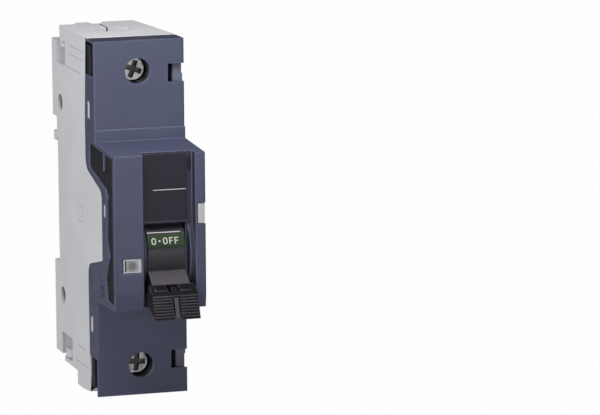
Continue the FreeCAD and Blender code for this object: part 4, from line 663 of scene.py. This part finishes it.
# Left, right, low and high ends of marks, and how far they stand out
BAND_EDGE, BAND_STEPS, BAND_LIFT = (-0.0031, 0.0066, 0.00695, 0.00720), 8, 0.00004
LABEL_RULE, RULE_SUNK, RULE_LIFT = (-0.00118, 0.00845, 0.01077, 0.01095), 0.0003, 0.00005
CHANNEL_SLOT, CHANNEL_LIFT = (0.0091, 0.0102, 0.0160, 0.0201), 0.00006
BUTTON_HALF, BUTTON_RIM, BUTTON_LIFT = 0.00195, 0.00035, 0.00004
LINE_FROM, LINE_TO = 1.3 * BUTTON_RIM, 2.3 * BUTTON_RIM

# Front, back, low and high ends of the square on the cover's left side
SIDE_SQUARE, SIDE_LINE, SIDE_LIFT = (-0.0510, -0.0484, -0.0208, -0.0181), 0.0003, 0.00001


def off_letters():
    """The sign and word for the off position: O, a dot, OFF."""
    middle = (LETTER_LOW + LETTER_HIGH) / 2
    grids = [
        letter_o(*FIRST_O, LETTER_LOW, LETTER_HIGH, STROKE),
        disc(DOT_PLACE, middle, DOT_RADIUS),
        letter_o(*SECOND_O, LETTER_LOW, LETTER_HIGH, STROKE),
    ]
    for left, right in BOTH_F:
        inner, low, high = left + STROKE, middle - F_BELOW * STROKE, middle + F_ABOVE * STROKE
        grids.append(bar(left, inner, LETTER_LOW, LETTER_HIGH, LETTER_STEPS))
        grids.append(bar(inner, right, LETTER_HIGH - STROKE, LETTER_HIGH, LETTER_STEPS))
        grids.append(bar(inner, right - F_SHORTER, low, high, LETTER_STEPS))
    new_piece("off_letters", plates(grids, on_drum, BAND_LIFT), BODY_OF["toggle"], "tab_pale")


def band_edge():
    """The light line above the letters."""
    mesh = plates([bar(*BAND_EDGE, BAND_STEPS)], on_drum, BAND_LIFT)
    new_piece("band_edge", mesh, BODY_OF["toggle"], "case_grey")


def label_rule():
    """The light line across the label plate."""
    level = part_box("label_plate")[0][1] + RULE_SUNK
    mesh = plates([bar(*LABEL_RULE)], on_front(level), RULE_LIFT)
    new_piece("label_rule", mesh, BODY_OF["label_plate"], "case_grey")


def channel_slot_painted_shade():
    """A black sheet that stands for the slot beside the label plate as painted shade, level with the
    plate's back.
    """
    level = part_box("label_plate")[1][1]
    mesh = plates([capsule(*CHANNEL_SLOT)], on_front(level), CHANNEL_LIFT)
    new_piece("channel_slot_painted_shade", mesh, BODY_OF["front_cover"], "panel_black")


def button_marks():
    """Light rim of the clear button and the dark line inside it."""
    left, right = BUTTON_LOW.x, BUTTON_HIGH.x
    low, high = BUTTON_FACE.z - BUTTON_HALF, BUTTON_FACE.z + BUTTON_HALF
    rim = outline(left, right, low, high, BUTTON_RIM, 2 * BUTTON_RIM)
    line = [bar(left + LINE_FROM, left + LINE_TO, low + LINE_FROM, high - LINE_FROM)]
    place, body = on_front(BUTTON_FACE.y), BODY_OF["test_button"]
    new_piece("button_rim", plates(rim, place, BUTTON_LIFT), body, "tab_pale", "clip_pale")
    new_piece("button_line", plates(line, place, BUTTON_LIFT), body, "panel_black")


def side_outline():
    """The small square outline low on the cover's left side."""
    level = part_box("front_cover")[0][0]
    mesh = plates(outline(*SIDE_SQUARE, SIDE_LINE, SIDE_LINE), on_left(level), SIDE_LIFT)
    new_piece("side_outline", mesh, BODY_OF["front_cover"], "cover_slate", "black_and_painted_shade")


off_letters()
band_edge()
label_rule()
channel_slot_painted_shade()
button_marks()
side_outline()


# Stage, light and camera

WHITE = (1.0, 1.0, 1.0, 1.0)
FLOOR_SIZE, FLOOR_PLACE = 6.0, (0.0, 1.0, -0.0536)
FLOOR_GREY, FLOOR_ROUGH, FLOOR_GLOW = (0.35, 0.35, 0.35, 1.0), 0.8, 0.985
WORLD_LIGHT, WORLD_SEEN = 0.11, 1.0

# Soft lamps that the camera doesn't see
LAMPS = {
    "left": dict(place=(-1.25, -0.35, 0.50), target=(0, -0.03, 0), size=(0.8, 0.8), power=11.0),
    "front": dict(place=(-0.10, -0.60, -0.10), target=(0, -0.05, -0.04), size=(0.35, 0.35), power=2.75),
    "top": dict(place=(0.1, 0.1, 1.2), target=(0, 0, 0), size=(0.9, 0.9), power=3.0),
    "upper": dict(place=(-0.03, -0.13, 0.128), target=(0, -0.06, 0.02), size=(0.08, 0.06), power=0.185),
}

# The camera's right and up directions and its place
CAMERA_RIGHT = Vector((0.95471, -0.29746, -0.00651))
CAMERA_UP = Vector((0.05640, 0.15942, 0.98560))
CAMERA_PLACE = Vector((-0.31629, -1.21585, 0.21083))
SENSOR_WIDTH, LENS = 36.0, 258.17
CLIP_START, CLIP_END = 0.05, 50.0


def floor():
    """A grey plane that the camera sees as nearly plain white."""
    bpy.ops.mesh.primitive_plane_add(size=FLOOR_SIZE, location=FLOOR_PLACE)
    plane = bpy.context.object
    plane.name = "floor"
    tree = Tree("floor_white")
    tree.shader.inputs["Base Color"].default_value = FLOOR_GREY
    tree.shader.inputs["Roughness"].default_value = FLOOR_ROUGH
    glow = tree.add("ShaderNodeEmission", Color=WHITE, Strength=1.0)
    rays = tree.nodes.new("ShaderNodeLightPath")
    share = tree.nodes.new("ShaderNodeMath")
    share.operation = "MULTIPLY"
    share.inputs[1].default_value = FLOOR_GLOW
    tree.join(rays.outputs["Is Camera Ray"], share.inputs[0])
    blend = tree.nodes.new("ShaderNodeMixShader")
    for node, socket in zip((share, tree.shader, glow), blend.inputs):
        tree.join(node.outputs[0], socket)
    tree.join(blend.outputs[0], tree.nodes["Material Output"].inputs["Surface"])
    plane.data.materials.append(tree.material)


def lamp(name, place, target, size, power):
    data = bpy.data.lights.new(name, "AREA")
    data.shape = "RECTANGLE"
    data.size, data.size_y = size
    data.energy = power
    item = bpy.data.objects.new(name, data)
    bpy.context.scene.collection.objects.link(item)
    item.location = place
    item.rotation_euler = (Vector(target) - Vector(place)).to_track_quat("-Z", "Y").to_euler()
    item.visible_camera = False


def surroundings():
    """A dim white world that the camera sees as plain white."""
    world = bpy.data.worlds.new("studio")
    bpy.context.scene.world = world
    world.use_nodes = True
    tree = world.node_tree
    back = tree.nodes["Background"]
    rays = tree.nodes.new("ShaderNodeLightPath")
    level = tree.nodes.new("ShaderNodeMapRange")
    level.inputs["To Min"].default_value = WORLD_LIGHT
    level.inputs["To Max"].default_value = WORLD_SEEN
    tree.links.new(rays.outputs["Is Camera Ray"], level.inputs["Value"])
    tree.links.new(level.outputs["Result"], back.inputs["Strength"])
    back.inputs["Color"].default_value = WHITE


def camera():
    data = bpy.data.cameras.new("camera")
    data.sensor_width = SENSOR_WIDTH
    data.lens = LENS
    data.clip_start = CLIP_START
    data.clip_end = CLIP_END
    item = bpy.data.objects.new("camera", data)
    bpy.context.scene.collection.objects.link(item)
    turn = Matrix((CAMERA_RIGHT, CAMERA_UP, CAMERA_RIGHT.cross(CAMERA_UP))).transposed()
    item.matrix_world = Matrix.Translation(CAMERA_PLACE) @ turn.to_4x4()
    bpy.context.scene.camera = item


floor()
for name, values in LAMPS.items():
    lamp(name, **values)
surroundings()
camera()
bpy.context.scene.view_settings.view_transform = "Standard"
